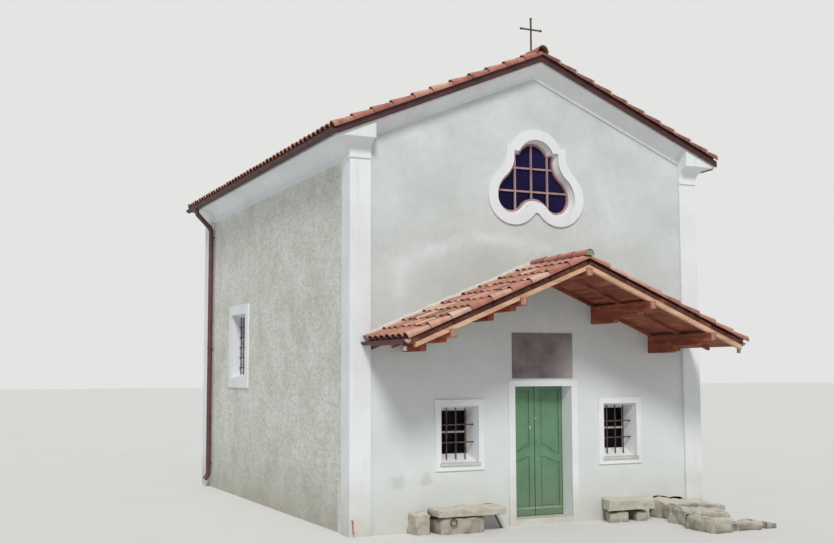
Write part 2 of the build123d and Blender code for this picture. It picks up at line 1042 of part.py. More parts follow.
def ridge_top():
    """Height of the ridge tiles' crown."""
    apex = deck_top_apex + tile_low / math.cos(math.atan(roof_slope))
    return apex - ridge_tile_centre_drop + ridge_tile_radius


# Door


def door_surround():
    """The painted band round the doorway, standing on the ground."""
    y0 = front_y - surround_proud
    outside = block(
        door_left - door_band,
        door_right + door_band,
        y0,
        front_y,
        0,
        door_top + door_head_band,
    )
    return outside - block(door_left, door_right, y0 - 1, front_y + 1, -1, door_top)


def door_plaque():
    """The bare panel over the doorway."""
    half = plaque_width / 2
    return block(
        door_centre - half,
        door_centre + half,
        front_y - plaque_proud,
        front_y,
        plaque_bottom,
        plaque_bottom + plaque_height,
    )


def door_threshold():
    """The stone step that fills the foot of the doorway."""
    front = block(
        door_left,
        door_right,
        front_y - threshold_front,
        front_y + leaf_setback,
        0,
        threshold_height,
    )
    back = block(
        door_centre - rebate_half,
        door_centre + rebate_half,
        front_y + leaf_setback,
        front_y + wall_thickness,
        0,
        threshold_height,
    )
    return front + back


def panel_outline(x0, x1, z0, z1, peak, flat_low, inset, y):
    """A panel between two stiles; its curved edge climbs towards the meeting stile."""
    x0, x1 = x0 + inset, x1 - inset
    width = x1 - x0
    shift = -inset if flat_low else inset
    curve_side = (z1 if flat_low else z0) + shift
    curve_peak = peak + shift
    flat = z0 + inset if flat_low else z1 - inset

    def at(x, z):
        return Vector(x, y, z)

    edges = [
        Edge.make_line(at(x1, curve_peak), at(x1, flat)),
        Edge.make_line(at(x1, flat), at(x0, flat)),
        Edge.make_line(at(x0, flat), at(x0, curve_side)),
        Edge.make_bezier(
            at(x0, curve_side),
            at(x0 + ogee_start * width, curve_side),
            at(x0 + ogee_end * width, curve_peak),
            at(x1, curve_peak),
        ),
    ]
    return Face(Wire(edges))


def panel_cut(x0, x1, z0, z1, peak, flat_low):
    """The sunk border of one fielded panel, leaving its raised middle."""
    y = leaf_face
    sunk = Solid.extrude(
        panel_outline(x0, x1, z0, z1, peak, flat_low, 0, y - 1),
        Vector(0, panel_recess + 1, 0),
    )
    floor = y + panel_recess
    field_top = panel_outline(
        x0, x1, z0, z1, peak, flat_low, field_margin, floor - field_rise
    )
    field = Solid.extrude(field_top, Vector(0, field_rise + 1, 0))
    return sunk - field


def door_leaf_left():
    """A framed leaf with two fielded panels, bevelled at its meeting edge."""
    x0 = door_left - leaf_lap
    x1 = door_centre - meeting_gap / 2
    top = rebate_top - leaf_clear
    outline = [
        (x0, leaf_face, leaf_bottom),
        (x1 - meeting_bevel, leaf_face, leaf_bottom),
        (x1, leaf_back, leaf_bottom),
        (x0, leaf_back, leaf_bottom),
    ]
    face = Face(Wire.make_polygon(outline, close=True))
    leaf = Solid.extrude(face, Vector(0, 0, top - leaf_bottom))
    left = x0 + hinge_stile
    right = x1 - meeting_stile
    lower = panel_cut(
        left,
        right,
        leaf_bottom + bottom_rail,
        leaf_bottom + lower_panel_side,
        leaf_bottom + lower_panel_peak,
        True,
    )
    upper = panel_cut(
        left,
        right,
        leaf_bottom + upper_panel_side,
        top - top_rail,
        leaf_bottom + upper_panel_peak,
        False,
    )
    return cut(leaf, lower, upper)


def strap_hinges_left():
    """A strap on the leaf's back with a ring that turns on the pintle."""
    x = door_centre - hinge_half
    straps = []
    for z in hinge_heights:
        middle = Pos(x, hinge_y, z)
        ring = middle * Cylinder(knuckle_radius, knuckle_height)
        bar = block(
            x,
            x + strap_length,
            leaf_back,
            leaf_back + strap_thickness,
            z - strap_height / 2,
            z + strap_height / 2,
        )
        bore = middle * Cylinder(knuckle_bore, 2 * knuckle_height)
        straps.append(ring + bar - bore)
    return straps


def pintles_left():
    """Pins on short arms that stand out of the jamb under each ring."""
    x = door_centre - hinge_half
    jamb = door_centre - rebate_half
    pins = []
    for z in hinge_heights:
        top = z - knuckle_height / 2 - pintle_seat
        pin_height = knuckle_height + pintle_arm_height
        pin = Pos(x, hinge_y, top - pintle_arm_height + pin_height / 2) * Cylinder(
            pin_radius, pin_height
        )
        arm = block(
            jamb,
            x,
            hinge_y - pin_radius,
            hinge_y + pin_radius,
            top - pintle_arm_height,
            top,
        )
        pins.append(pin + arm)
    return pins


def to_right_leaf(shape):
    """The shape on the other side of the doorway's centre line."""
    return shape.mirror(Plane(origin=(door_centre, 0, 0), z_dir=(1, 0, 0)))


# Porch canopy


def canopy_z(x, apex=canopy_apex):
    """Height of the canopy's gable line at a distance from its axis."""
    return apex - canopy_slope * abs(x)


def canopy_front():
    """The face of the front rafters."""
    return front_y - canopy_projection


def canopy_rafter_rise():
    """Upright thickness of a rafter."""
    return rafter_depth * math.hypot(1, canopy_slope)


def purlin_top(out):
    """Height of a purlin's top, which stands in the notch of the rafters."""
    return canopy_z(out) - canopy_rafter_rise() + purlin_notch


def side_purlin_places():
    """Distances from the canopy's axis to its four side purlins."""
    inner = purlin_share * canopy_rafter_reach
    outer = 2 * inner
    return (-outer, -inner, inner, outer)


def canopy_purlins():
    """The ridge purlin and four side purlins, built into the gable wall."""
    half = purlin_width / 2
    y0 = canopy_front() - purlin_end_proud
    y1 = front_y + purlin_bearing
    beams = []
    for out in (0, *side_purlin_places()):
        x = canopy_x + out
        top = purlin_top(out)
        beams.append(block(x - half, x + half, y0, y1, top - purlin_height, top))
    return beams


def corbel(x, top, length, height):
    """A bracket beam with a quarter-round nose under its end."""
    half = purlin_width / 2
    y0 = front_y - length
    y1 = front_y + purlin_bearing
    nose = corbel_nose
    low = top - height
    turn = math.sqrt(0.5)

    def at(y, z):
        return Vector(x - half, y, z)

    edges = [
        Edge.make_line(at(y1, low), at(y1, top)),
        Edge.make_line(at(y1, top), at(y0, top)),
        Edge.make_line(at(y0, top), at(y0, low + nose)),
        Edge.make_three_point_arc(
            at(y0, low + nose),
            at(y0 + nose * (1 - turn), low + nose * (1 - turn)),
            at(y0 + nose, low),
        ),
        Edge.make_line(at(y0 + nose, low), at(y1, low)),
    ]
    return Solid.extrude(Face(Wire(edges)), Vector(purlin_width, 0, 0))


def canopy_corbels():
    """A long corbel under each side purlin and a short one under that."""
    pieces = []
    for out in side_purlin_places():
        x = canopy_x + out
        top = purlin_top(out) - purlin_height
        step = top - long_corbel_height
        long = corbel(x, top, long_corbel_length, long_corbel_height)
        short = corbel(x, step, short_corbel_length, short_corbel_height)
        pieces.append(long + short)
    return pieces


def canopy_slope_piece(side, reach, apex, rise, y0, y1):
    """One slope's layer between two apex heights, plumb at the ridge and the eave."""
    points = [
        (canopy_x, apex),
        (canopy_x + side * reach, canopy_z(reach, apex)),
        (canopy_x + side * reach, canopy_z(reach, apex) + rise),
        (canopy_x, apex + rise),
    ]
    return prism_y(points, y0, y1)


def canopy_rafters(side):
    """Three rafters of one slope, notched over the purlins."""
    rise = canopy_rafter_rise()
    first = canopy_front()
    last = front_y - rafter_width
    rafters = []
    for index in range(3):
        y = first + (last - first) * index / 2
        rafter = canopy_slope_piece(
            side, canopy_rafter_reach, canopy_apex - rise, rise, y, y + rafter_width
        )
        rafters.append(cut(rafter, *canopy_purlins()))
    return rafters


def canopy_board_rise():
    """Upright thickness of the boarding."""
    return canopy_board_thickness * math.hypot(1, canopy_slope)


def canopy_board_top():
    """Height of the boarding's upper face on the axis."""
    return canopy_apex + canopy_board_rise()


def pilaster_fronts():
    """The two front pilasters, which the canopy's eaves are notched round."""
    return corner_pilasters()[0], corner_pilasters()[2]


def canopy_boards(side):
    """The plank boarding of one slope."""
    boards = canopy_slope_piece(
        side,
        canopy_board_reach,
        canopy_apex,
        canopy_board_rise(),
        canopy_front(),
        front_y,
    )
    return cut(boards, *pilaster_fronts())


def canopy_tiles():
    """The covering of the canopy, right slope then left slope."""
    layer = tile_layer(
        canopy_tile_reach,
        canopy_board_top(),
        canopy_slope,
        canopy_tile_low,
        canopy_tile_step,
        canopy_tile_crown,
        canopy_front() - canopy_verge_overhang,
        front_y,
        canopy_ridge_radius,
    )
    right = Pos(canopy_x, 0, 0) * layer
    left = Pos(canopy_x, 0, 0) * mirrored(layer)
    return cut(right, *pilaster_fronts()), cut(left, *pilaster_fronts())


def canopy_ridge():
    """The ridge tiles of the canopy."""
    apex = canopy_board_top()
    crest = apex + canopy_tile_low * math.hypot(1, canopy_slope)
    return ridge_row(
        canopy_x,
        canopy_ridge_radius,
        crest - canopy_ridge_drop,
        apex,
        canopy_slope,
        canopy_front() - canopy_verge_overhang,
        front_y,
    )


def gutter_brackets(side, rim, first, hollow):
    """Short arms that hold a canopy gutter to the edge of the boarding."""
    inner = canopy_x + side * canopy_board_reach
    outer = canopy_x + side * canopy_gutter_offset
    top = rim - gutter_bracket_drop
    last = front_y - pilaster_proud - gutter_bracket_width
    arms = []
    for index in range(3):
        y = first + (last - first) * index / 2
        arm = block(
            inner, outer, y, y + gutter_bracket_width, top - gutter_bracket_height, top
        )
        arms.append(arm - hollow)
    return arms


def canopy_gutters():
    """A small half-round gutter with a spout under each eave of the canopy."""
    pieces = []
    radius = canopy_gutter_radius
    rim = canopy_z(canopy_gutter_offset, canopy_board_top())
    y1 = front_y - pilaster_proud
    for side, set_back in ((-1, 0), (1, right_canopy_gutter_set_back)):
        first = canopy_front() + set_back
        y0 = first - canopy_verge_overhang
        x = canopy_x + side * canopy_gutter_offset
        gutter = half_pipe(radius, x, rim, y0, y1)
        spout = Pos(x, y0 + 2 * radius, rim - radius + spout_lap) * Cylinder(
            spout_radius, spout_length, align=(Align.CENTER, Align.CENTER, Align.MAX)
        )
        arms = gutter_brackets(side, rim, first, trough(radius, x, rim, y0, y1))
        pieces.append(joined(gutter, spout, *arms))
    return pieces


# Stones and ironwork at the foot of the front


def rough_block(x0, x1, depth, z0, z1, turned=stone_round, slant=0):
    """A stone against the wall, its free upright edges rounded, its left end slanted."""
    face = front_y - depth
    plan = [(x0, face), (x1, face), (x1, front_y), (x0 + slant, front_y)]
    outline = Wire.make_polygon([(x, y, z0) for x, y in plan], close=True)
    stone = Solid.extrude(Face(outline), Vector(0, 0, z1 - z0))
    corners = stone.edges().filter_by(Axis.Z).sort_by(Axis.Y)[:2]
    return fillet(corners, radius=turned)


def bench_slabs():
    """The two seats."""
    seats = []
    for ends, top, thickness, slant in (
        (left_bench, left_bench_top, left_bench_thickness, 0),
        (right_bench, right_bench_top, right_bench_thickness, right_bench_slant),
    ):
        low = top - thickness
        seats.append(rough_block(*ends, bench_depth, low, top, 2 * stone_round, slant))
    return seats


def bench_blocks():
    """The blocks that carry the seats, and the end block beside the left one."""
    left_top = left_bench_top - left_bench_thickness
    right_top = right_bench_top - right_bench_thickness
    blocks = [rough_block(*left_block, bench_block_depth, 0, left_top)]
    blocks.append(rough_block(*end_block, end_block_depth, 0, end_block_height))
    for ends, slant in zip(right_blocks, (right_bench_slant, 0)):
        blocks.append(
            rough_block(*ends, bench_block_depth, 0, right_top, slant=slant)
        )
    return blocks


def stone_outline(x0, x1, y0, y1, z, inset):
    """An oblong with cut corners at one height, drawn in by an inset."""
    x0, x1, y0, y1 = x0 + inset, x1 - inset, y0 + inset, y1 - inset
    c = stone_corner
    return [
        (x0 + c, y0, z),
        (x1 - c, y0, z),
        (x1, y0 + c, z),
        (x1, y1 - c, z),
        (x1 - c, y1, z),
        (x0 + c, y1, z),
        (x0, y1 - c, z),
        (x0, y0 + c, z),
    ]


def field_stone(x0, width, y1, depth, height):
    """A stone on the ground: cut corners, sides that lean in, and a top that falls to the right."""
    x1 = x0 + width
    y0 = y1 - depth
    low = stone_outline(x0, x1, y0, y1, 0, 0)
    top = stone_outline(x0, x1, y0, y1, height, stone_batter)
    falling = [(x0, height), (x1, height), (x1, height - stone_fall * width)]
    return funnel(low, top) - prism_y(falling, y0, y1)


def rough_edge_stones():
    """The row of stones beside the right bench and the low ones outside its end."""
    stones = []
    for index in range(edge_stones):
        y1 = front_y - index * (edge_stone_depth + stone_gap)
        x0 = edge_row_x - edge_row_lean * (index + 0.5) * edge_stone_depth
        width = edge_stone_width - index * edge_stone_narrowing
        height = edge_stone_height - index * edge_stone_lowering
        stones.append(field_stone(x0, width, y1, edge_stone_depth, height))
    x0 += width + stone_gap
    width = outer_stone_width
    for index in range(outer_stones):
        y1 = front_y - outer_stone_back
        stones.append(
            field_stone(x0, width, y1, outer_stone_depth, outer_stone_height)
        )
        x0 += width + stone_gap
        width *= outer_stone_shrink
    return [cut(stone, corner_pilasters()[2]) for stone in stones]


def tether_ring():
    """An iron ring hanging from a staple in the left bench's block."""
    y = front_y - bench_block_depth - ring_bar
    section = Pos(ring_radius, 0, 0) * RegularPolygon(ring_bar, 8, rotation=22.5)
    ring = Pos(ring_x, y, ring_z) * revolve(section, axis=Axis.Y)
    staple = block(
        ring_x - ring_bar,
        ring_x + ring_bar,
        y - 2 * ring_bar,
        front_y - bench_block_depth,
        ring_z + ring_radius - ring_bar,
        ring_z + ring_radius + 2 * ring_bar,
    )
    return ring + staple


def boot_scraper():
    """A leaning iron bar with a splayed foot, tucked under the left seat."""
    y = front_y - scraper_from_wall
    half = scraper_bar / 2
    top = left_bench_top - left_bench_thickness
    points = [
        (scraper_x - half, top),
        (scraper_x + half, top),
        (scraper_x + scraper_lean + half, scraper_foot),
        (scraper_x + scraper_lean + 3 * half, 0),
        (scraper_x + scraper_lean - 3 * half, 0),
        (scraper_x + scraper_lean - half, scraper_foot),
    ]
    return prism_y(points, y, y + scraper_bar)


def corner_hook():
    """A small iron hook at the foot of the left pilaster."""
    x = hook_from_corner - pilaster_face
    y = front_y - pilaster_proud
    path = Polyline(
        (x, y, hook_z + hook_height),
        (x, y - hook_arm, hook_z + hook_height),
        (x, y - hook_reach, hook_z + hook_toe_rise),
        (x + hook_toe, y - hook_reach, hook_z),
    )
    start = Plane(origin=(x, y, hook_z + hook_height), z_dir=(0, -1, 0))
    return sweep(
        start * Rectangle(hook_bar, hook_bar), path=path, transition=Transition.RIGHT
    )


def main():
    os.makedirs("parts", exist_ok=True)
    left, right, gable = front_wall()
    save("front_wall_left", left)
    save("front_wall_right", right)
    save("front_wall_gable", gable)
    left, right = side_walls()
    save("left_wall", left)
    save("right_wall", right)
    save("back_wall", back_wall())
    save("floor_slab", floor_slab())
    save("corner_pilasters", *corner_pilasters())
    cornice = right_cornice()
    save("cornice_right", cornice)
    save("cornice_left", mirrored(cornice))
    rake = raking_cornice_right()
    save("raking_cornices_right", rake)
    save("raking_cornices_left", mirrored(rake))
    save("roof_beams", *roof_beams())
    deck = deck_right()
    save("roof_deck_right", deck)
    save("roof_deck_left", mirrored(deck))
    flashings = flashings_right()
    save("verge_flashings_right", *flashings)
    save("verge_flashings_left", *[mirrored(strip) for strip in flashings])
    tiles = tiles_right()
    save("roof_tiles_right", tiles)
    save("roof_tiles_left", mirrored(tiles))
    save("ridge_tiles", ridge_tiles())
    left_gutter = mirrored(eaves_gutter(tile_verge_reach))
    save("eaves_gutters", eaves_gutter(right_gutter_reach), left_gutter)
    pipe = downpipe_right()
    save("downpipes", pipe, mirrored(pipe))
    save("roof_cross", roof_cross())
    save("door_surround", door_surround())
    save("door_threshold", door_threshold())
    leaf = door_leaf_left()
    save("door_leaf_left", leaf)
    save("door_leaf_right", to_right_leaf(leaf))
    straps = strap_hinges_left()
    save("door_straps_left", *straps)
    save("door_straps_right", *[to_right_leaf(strap) for strap in straps])
    pins = pintles_left()
    save("door_pintles", *pins, *[to_right_leaf(pin) for pin in pins])
    save(
        "front_window_frames",
        *[window_frame(x, *front_window, 0, 1) for x in front_window_centres],
    )
    save(
        "front_window_glass",
        *[window_pane(x, *front_window) for x in front_window_centres],
    )
    sills = [window_sill(x, window_width, window_bottom) for x in front_window_centres]
    save("front_window_sills", *sills)
    surrounds = [
        window_surround(x, *front_window, window_band) for x in front_window_centres
    ]
    save(
        "front_window_surrounds",
        *[cut(piece, *sills) for piece in surrounds],
    )
    save("side_window_frames", *side_piece(window_frame, *side_window, 1, 2))
    save("side_window_glass", *side_piece(window_pane, *side_window))
    save(
        "side_window_surrounds",
        *side_piece(window_surround, *side_window, side_window_band),
    )
    save("heart_window_surround", heart_surround())
    save("heart_window_frame", heart_frame())
    save("heart_window_glass", heart_glass())
    save("door_plaque", door_plaque())
    save("canopy_purlins", *canopy_purlins())
    save("canopy_corbels", *canopy_corbels())
    save("canopy_rafters_right", *canopy_rafters(1))
    save("canopy_rafters_left", *canopy_rafters(-1))
    save("canopy_boards_right", canopy_boards(1))
    save("canopy_boards_left", canopy_boards(-1))
    right, left = canopy_tiles()
    save("canopy_tiles_right", right)
    save("canopy_tiles_left", left)
    save("canopy_ridge_tiles", canopy_ridge())
    save("canopy_gutters", *canopy_gutters())
    save("bench_slabs", *bench_slabs())
    save("bench_blocks", *bench_blocks())
    save("edge_stones", *rough_edge_stones())
    save("front_ironwork", tether_ring(), boot_scraper(), corner_hook())


main()
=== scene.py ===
import json
import math
import random

import bpy
from mathutils import Matrix, Vector, noise


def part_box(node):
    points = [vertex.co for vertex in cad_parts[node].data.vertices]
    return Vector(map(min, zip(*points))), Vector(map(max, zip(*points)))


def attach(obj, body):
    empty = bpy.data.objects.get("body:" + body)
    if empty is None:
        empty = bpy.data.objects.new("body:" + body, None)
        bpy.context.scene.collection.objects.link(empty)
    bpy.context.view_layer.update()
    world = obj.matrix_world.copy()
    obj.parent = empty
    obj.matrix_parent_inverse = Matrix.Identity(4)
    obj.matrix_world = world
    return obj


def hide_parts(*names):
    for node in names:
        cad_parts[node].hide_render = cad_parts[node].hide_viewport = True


# Looks of the small chapel: tiles, stones, boards, ironwork, finishes, light and camera.
# Metres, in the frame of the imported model: the front faces -Y and the ground is at Z 0.

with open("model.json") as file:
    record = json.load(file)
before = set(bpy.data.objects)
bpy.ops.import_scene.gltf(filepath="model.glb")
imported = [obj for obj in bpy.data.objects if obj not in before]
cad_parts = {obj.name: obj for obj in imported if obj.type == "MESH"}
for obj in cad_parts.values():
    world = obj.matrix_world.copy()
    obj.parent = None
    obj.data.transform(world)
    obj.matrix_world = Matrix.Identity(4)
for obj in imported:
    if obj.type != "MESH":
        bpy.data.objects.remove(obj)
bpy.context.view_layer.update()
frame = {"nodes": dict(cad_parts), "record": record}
front_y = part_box("front_wall_left")[0].y
back_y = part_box("back_wall")[1].y
side_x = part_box("right_wall")[1].x
x_axis, y_axis, z_axis = Matrix.Identity(3)


# Small helpers


def rgb(red, green, blue):
    """A colour given as it should look on screen, 0 to 255, in the shader's own linear values."""
    linear = []
    for part in (red, green, blue):
        c = part / 255
        linear.append(c / 12.92 if c <= 0.04045 else ((c + 0.055) / 1.055) ** 2.4)
    return (*linear, 1.0)


square = ((-1, -1), (1, -1), (1, 1), (-1, 1))


def circle(steps, start=0.0):
    """Cosine and sine at even steps over a full turn."""
    angles = [start + 2 * math.pi * step / steps for step in range(steps)]
    return [(math.cos(angle), math.sin(angle)) for angle in angles]


def half_circle(steps, start=0.0):
    """Cosine and sine at even steps over half a turn, with both of its ends."""
    angles = [start + math.pi * step / steps for step in range(steps + 1)]
    return [(math.cos(angle), math.sin(angle)) for angle in angles]


def facing_ring(x, y, z, outline, across, rise):
    """An outline drawn about a point, in a plane that faces the front."""
    return [Vector((x + a * across, y, z + b * rise)) for a, b in outline]


def linked(name, data):
    """A new object of its data, in the scene."""
    made = bpy.data.objects.new(name, data)
    bpy.context.scene.collection.objects.link(made)
    return made


def drawn_tint(rnd, middle, spread):
    """A random tint about a middle one, kept within 0..1."""
    return min(1.0, max(0.0, rnd.gauss(middle, spread)))


def islands(node):
    """The boxes of a CAD node's separate solids, from left to right and front to back."""
    mesh = frame["nodes"][node].data
    keys = [tuple(round(c, 4) for c in v.co) for v in mesh.vertices]
    root = {key: key for key in keys}

    def find(key):
        while root[key] != key:
            root[key] = root[root[key]]
            key = root[key]
        return key

    for polygon in mesh.polygons:
        first = find(keys[polygon.vertices[0]])
        for index in polygon.vertices:
            root[find(keys[index])] = first
    groups = {}
    for key in root:
        groups.setdefault(find(key), []).append(key)
    boxes = []
    for points in groups.values():
        axes = list(zip(*points))
        boxes.append((Vector(map(min, axes)), Vector(map(max, axes))))
    return sorted(boxes, key=lambda box: (round(box[0].x, 2), box[0].y, box[0].z))


class Sheaf:
    """Points, faces and tints gathered for one piece."""

    def __init__(self):
        self.verts = []
        self.faces = []
        self.tints = []

    def add(self, verts, faces, tint=0.5, flip=False):
        start = len(self.verts)
        self.verts += verts
        for face in faces:
            ring = [start + index for index in face]
            self.faces.append(ring[::-1] if flip else ring)
            self.tints.append(tint)

    def loft(self, rings, tint=0.5, closed=False, caps=False, flip=False):
        """Faces between rings of equally many points."""
        count = len(rings[0])
        verts = [point for ring in rings for point in ring]
        faces = []
        for row in range(len(rings) - 1):
            low = row * count
            high = low + count
            for index in range(count if closed else count - 1):
                after = (index + 1) % count
                faces.append((low + index, low + after, high + after, high + index))
        if caps:
            faces.append(tuple(range(count))[::-1])
            faces.append(tuple(range(len(verts) - count, len(verts))))
        self.add(verts, faces, tint, flip)

    def bar(self, start, end, across, up, tint, bevel):
        """A straight bar with bevelled edges, across and up being its half sizes."""
        ends = []
        for centre in (start, end):
            ring = []
            for sx, sy in ((1, 1), (-1, 1), (-1, -1), (1, -1)):
                a, b = across * sx, up * sy
                first = centre + a * (1 - bevel) + b
                second = centre + a + b * (1 - bevel)
                ring += [first, second] if sx * sy < 0 else [second, first]
            ends.append(ring)
        self.loft(ends, tint, closed=True, caps=True)

    def piece(self, name, slot, body="root", crease=40, finish=None):
        """One piece of all that was gathered, with its slot's finish or another that is named."""
        mesh = bpy.data.meshes.new(name)
        mesh.from_pydata(self.verts, [], self.faces)
        mesh.validate()
        values = mesh.attributes.new("tint", "FLOAT", "FACE")
        values.data.foreach_set("value", self.tints)
        mesh.shade_smooth()
        mesh.set_sharp_from_angle(angle=math.radians(crease))
        made = linked(name, mesh)
        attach(made, body)
        mesh.materials.append(finishes[finish or slot])
        return made


# Finishes

# How much the coordinates are stretched, for grain along an axis or a cut across it
along_y = (3.2, 0.35, 3.2)
along_x = (0.5, 3.2, 3.2)
along_z = (3.2, 3.2, 0.4)
cut_across = (9, 0.5, 9)

reveal_white = rgb(231, 235, 238)

# How far behind each outer face the reveals begin
front_skin = 0.004
side_skin = 0.005
back_skin = 0.01

# The repaired plaster: an arch over the canopy with a left leg, fading out at the right and below
patch_x = -0.6
patch_top = 4.48
patch_bend = 0.16
patch_left = -2.38
patch_right = (0.7, 0.1)
patch_foot = (3.2, 3.6)

# X, Z and reach of each damp spot under the left window
damp_spots = ((-2.42, 0.76, 0.16), (-1.94, 0.78, 0.14))

lower_plaster = (3.9, 2.6)
gable_window_low = 4.5
hook_x = -2.8
bare_rafters_reach = 1.45

# Heights over which the painted highlight along the lit edge of the leaves' bottom rail fades in,
# and fades out
rail_highlight_below = (0.208, 0.214)
rail_highlight_above = (0.236, 0.23)

# Every finished material by its name
finishes = {}


class Finish:
    """A procedural material, built node by node on the piece's own coordinates."""

    def __init__(self, name, roughness=0.8, metallic=0.0):
        finishes[name] = bpy.data.materials.new(name)
        finishes[name].use_nodes = True
        self.tree = finishes[name].node_tree
        self.shader = self.tree.nodes["Principled BSDF"]
        self.shader.inputs["Roughness"].default_value = roughness
        self.shader.inputs["Metallic"].default_value = metallic
        self.place = self.node("ShaderNodeTexCoord").outputs["Object"]
        self.painted = None
        self.normal = None

    def node(self, kind, inputs=None, **settings):
        """A new node with its settings; an input is linked to a socket or set to a value."""
        made = self.tree.nodes.new(kind)
        for key, value in settings.items():
            setattr(made, key, value)
        for key, value in (inputs or {}).items():
            if isinstance(value, bpy.types.NodeSocket):
                self.tree.links.new(value, made.inputs[key])
            else:
                made.inputs[key].default_value = value
        return made

    def calculated(self, operation, a, b=0.0):
        return self.node("ShaderNodeMath", {0: a, 1: b}, operation=operation).outputs["Value"]

    def plus(self, a, b):
        return self.calculated("ADD", a, b)

    def minus(self, a, b):
        return self.calculated("SUBTRACT", a, b)

    def times(self, a, b):
        return self.calculated("MULTIPLY", a, b)

    def over(self, value, limit):
        """1 where the value is over the limit, 0 elsewhere."""
        return self.calculated("GREATER_THAN", value, limit)

    def under(self, value, limit):
        """1 where the value is under the limit, 0 elsewhere."""
        return self.calculated("LESS_THAN", value, limit)

    def absolute(self, value):
        return self.calculated("ABSOLUTE", value)

    def scaled(self, x, y, z):
        """The coordinates stretched, for grain and streaks."""
        inputs = {"Vector": self.place, "Scale": (x, y, z)}
        return self.node("ShaderNodeMapping", inputs).outputs["Vector"]

    def noise(self, scale, detail=4.0, roughness=0.55, place=None):
        inputs = {"Vector": place or self.place, "Scale": scale, "Detail": detail}
        inputs["Roughness"] = roughness
        return self.node("ShaderNodeTexNoise", inputs).outputs["Fac"]

    def cells(self, scale, feature="F1"):
        """Distance to the middle of a cell, or to its edge."""
        inputs = {"Vector": self.place, "Scale": scale}
        return self.node("ShaderNodeTexVoronoi", inputs, feature=feature).outputs["Distance"]

    def tint(self):
        return self.node("ShaderNodeAttribute", attribute_name="tint").outputs["Fac"]

    def span(self, value, low, high):
        """A value brought from low..high to 0..1, and kept within it."""
        inputs = {"Value": value, "From Min": low, "From Max": high}
        return self.node("ShaderNodeMapRange", inputs).outputs["Result"]

    def patches(self, low, high, *grain):
        """A mask from noise: 0 up to the low limit, 1 from the high one."""
        return self.span(self.noise(*grain), low, high)

    def axis(self, letter):
        parts = self.node("ShaderNodeSeparateXYZ", {"Vector": self.place})
        return parts.outputs[letter]

    def upward(self, low, high):
        """Span of how far a face looks up, which is 0 for an upright face and 1 for a level one."""
        turned = self.node("ShaderNodeNewGeometry").outputs["Normal"]
        rise = self.node("ShaderNodeSeparateXYZ", {"Vector": turned}).outputs["Z"]
        return self.span(rise, low, high)

    def shade_in_hollows(self, reach, low, high):
        """Painted shade mask from ambient occlusion: 1 deep in grooves and laps, where shade falls,
        0 on open faces.
        """
        made = self.node("ShaderNodeAmbientOcclusion", {"Distance": reach}, samples=8)
        return self.span(made.outputs["AO"], high, low)

    def spot(self, x, z, reach):
        """A ragged round patch on the front, 1 at its middle and 0 outside it."""
        across = self.calculated("POWER", self.minus(self.axis("X"), x), 2)
        rise = self.calculated("POWER", self.minus(self.axis("Z"), z), 2)
        away = self.calculated("POWER", self.plus(across, rise), 0.5)
        ragged = self.times(self.minus(self.noise(7, 6, 0.7), 0.5), reach * 3)
        return self.span(self.plus(away, ragged), reach, reach * 0.3)

    def ramp(self, fac, *stops):
        made = self.node("ShaderNodeValToRGB", {"Fac": fac})
        elements = made.color_ramp.elements
        while len(elements) < len(stops):
            elements.new(0.5)
        for element, (position, colour) in zip(elements, stops):
            element.position = position
            element.color = colour
        return made.outputs["Color"]

    def blend(self, fac, a, b, kind="MIX"):
        inputs = {0: fac, 6: a, 7: b}
        made = self.node("ShaderNodeMix", inputs, data_type="RGBA", blend_type=kind)
        return made.outputs[2]

    def paint(self, colour):
        self.painted = colour
        self.tree.links.new(colour, self.shader.inputs["Base Color"])

    def shades(self, value, *stops):
        """Paint that goes from colour to colour with a value."""
        self.paint(self.ramp(value, *stops))

    def two_tone(self, dark, light, *grain):
        """Paint of two colours, mottled by noise."""
        self.shades(self.noise(*grain), (0.3, dark), (0.7, light))

    def stain(self, mask, share, shade):
        """A shade over the paint, which hides as large a share of it where the mask is 1."""
        self.paint(self.blend(self.times(mask, share), self.painted, shade))

    def roughness(self, value, low, high):
        inputs = {"Value": value, "To Min": low, "To Max": high}
        result = self.node("ShaderNodeMapRange", inputs).outputs["Result"]
        self.tree.links.new(result, self.shader.inputs["Roughness"])

    def bump(self, height, strength, distance):
        """Relief on top of any relief already given."""
        inputs = {"Height": height, "Strength": strength, "Distance": distance}
        if self.normal:
            inputs["Normal"] = self.normal
        self.normal = self.node("ShaderNodeBump", inputs).outputs["Normal"]
        self.tree.links.new(self.normal, self.shader.inputs["Normal"])


def ground_grime(look, dirt, height):
    """Splashed dirt that fades upwards from the ground, with a ragged edge."""
    ragged = look.minus(look.axis("Z"), look.times(look.noise(2.3), 0.9))
    look.stain(look.span(ragged, height, -0.45), 0.6, dirt)


def roughcast(look):
    """Paints thrown roughcast, a coarse mottle with fine grit on it, and gives its relief."""
    look.shades(
        look.noise(1.3, 6, 0.62),
        (0.3, rgb(198, 200, 190)),
        (0.52, rgb(217, 219, 213)),
        (0.72, rgb(228, 231, 228)),
    )
    mottle = look.patches(0.46, 0.6, 15, 4, 0.8, look.scaled(0.5, 0.5, 1.3))
    look.stain(mottle, 0.5, rgb(176, 176, 163))
    pale = look.patches(0.54, 0.64, 10, 3, 0.75, look.scaled(0.6, 0.6, 1.1))
    look.stain(pale, 0.5, rgb(234, 235, 231))
    specks = look.patches(0.62, 0.75, 120, 2)
    look.stain(specks, 0.25, rgb(138, 134, 122))
    return look.plus(look.noise(62, 3, 0.7), look.times(look.cells(34), 0.9))


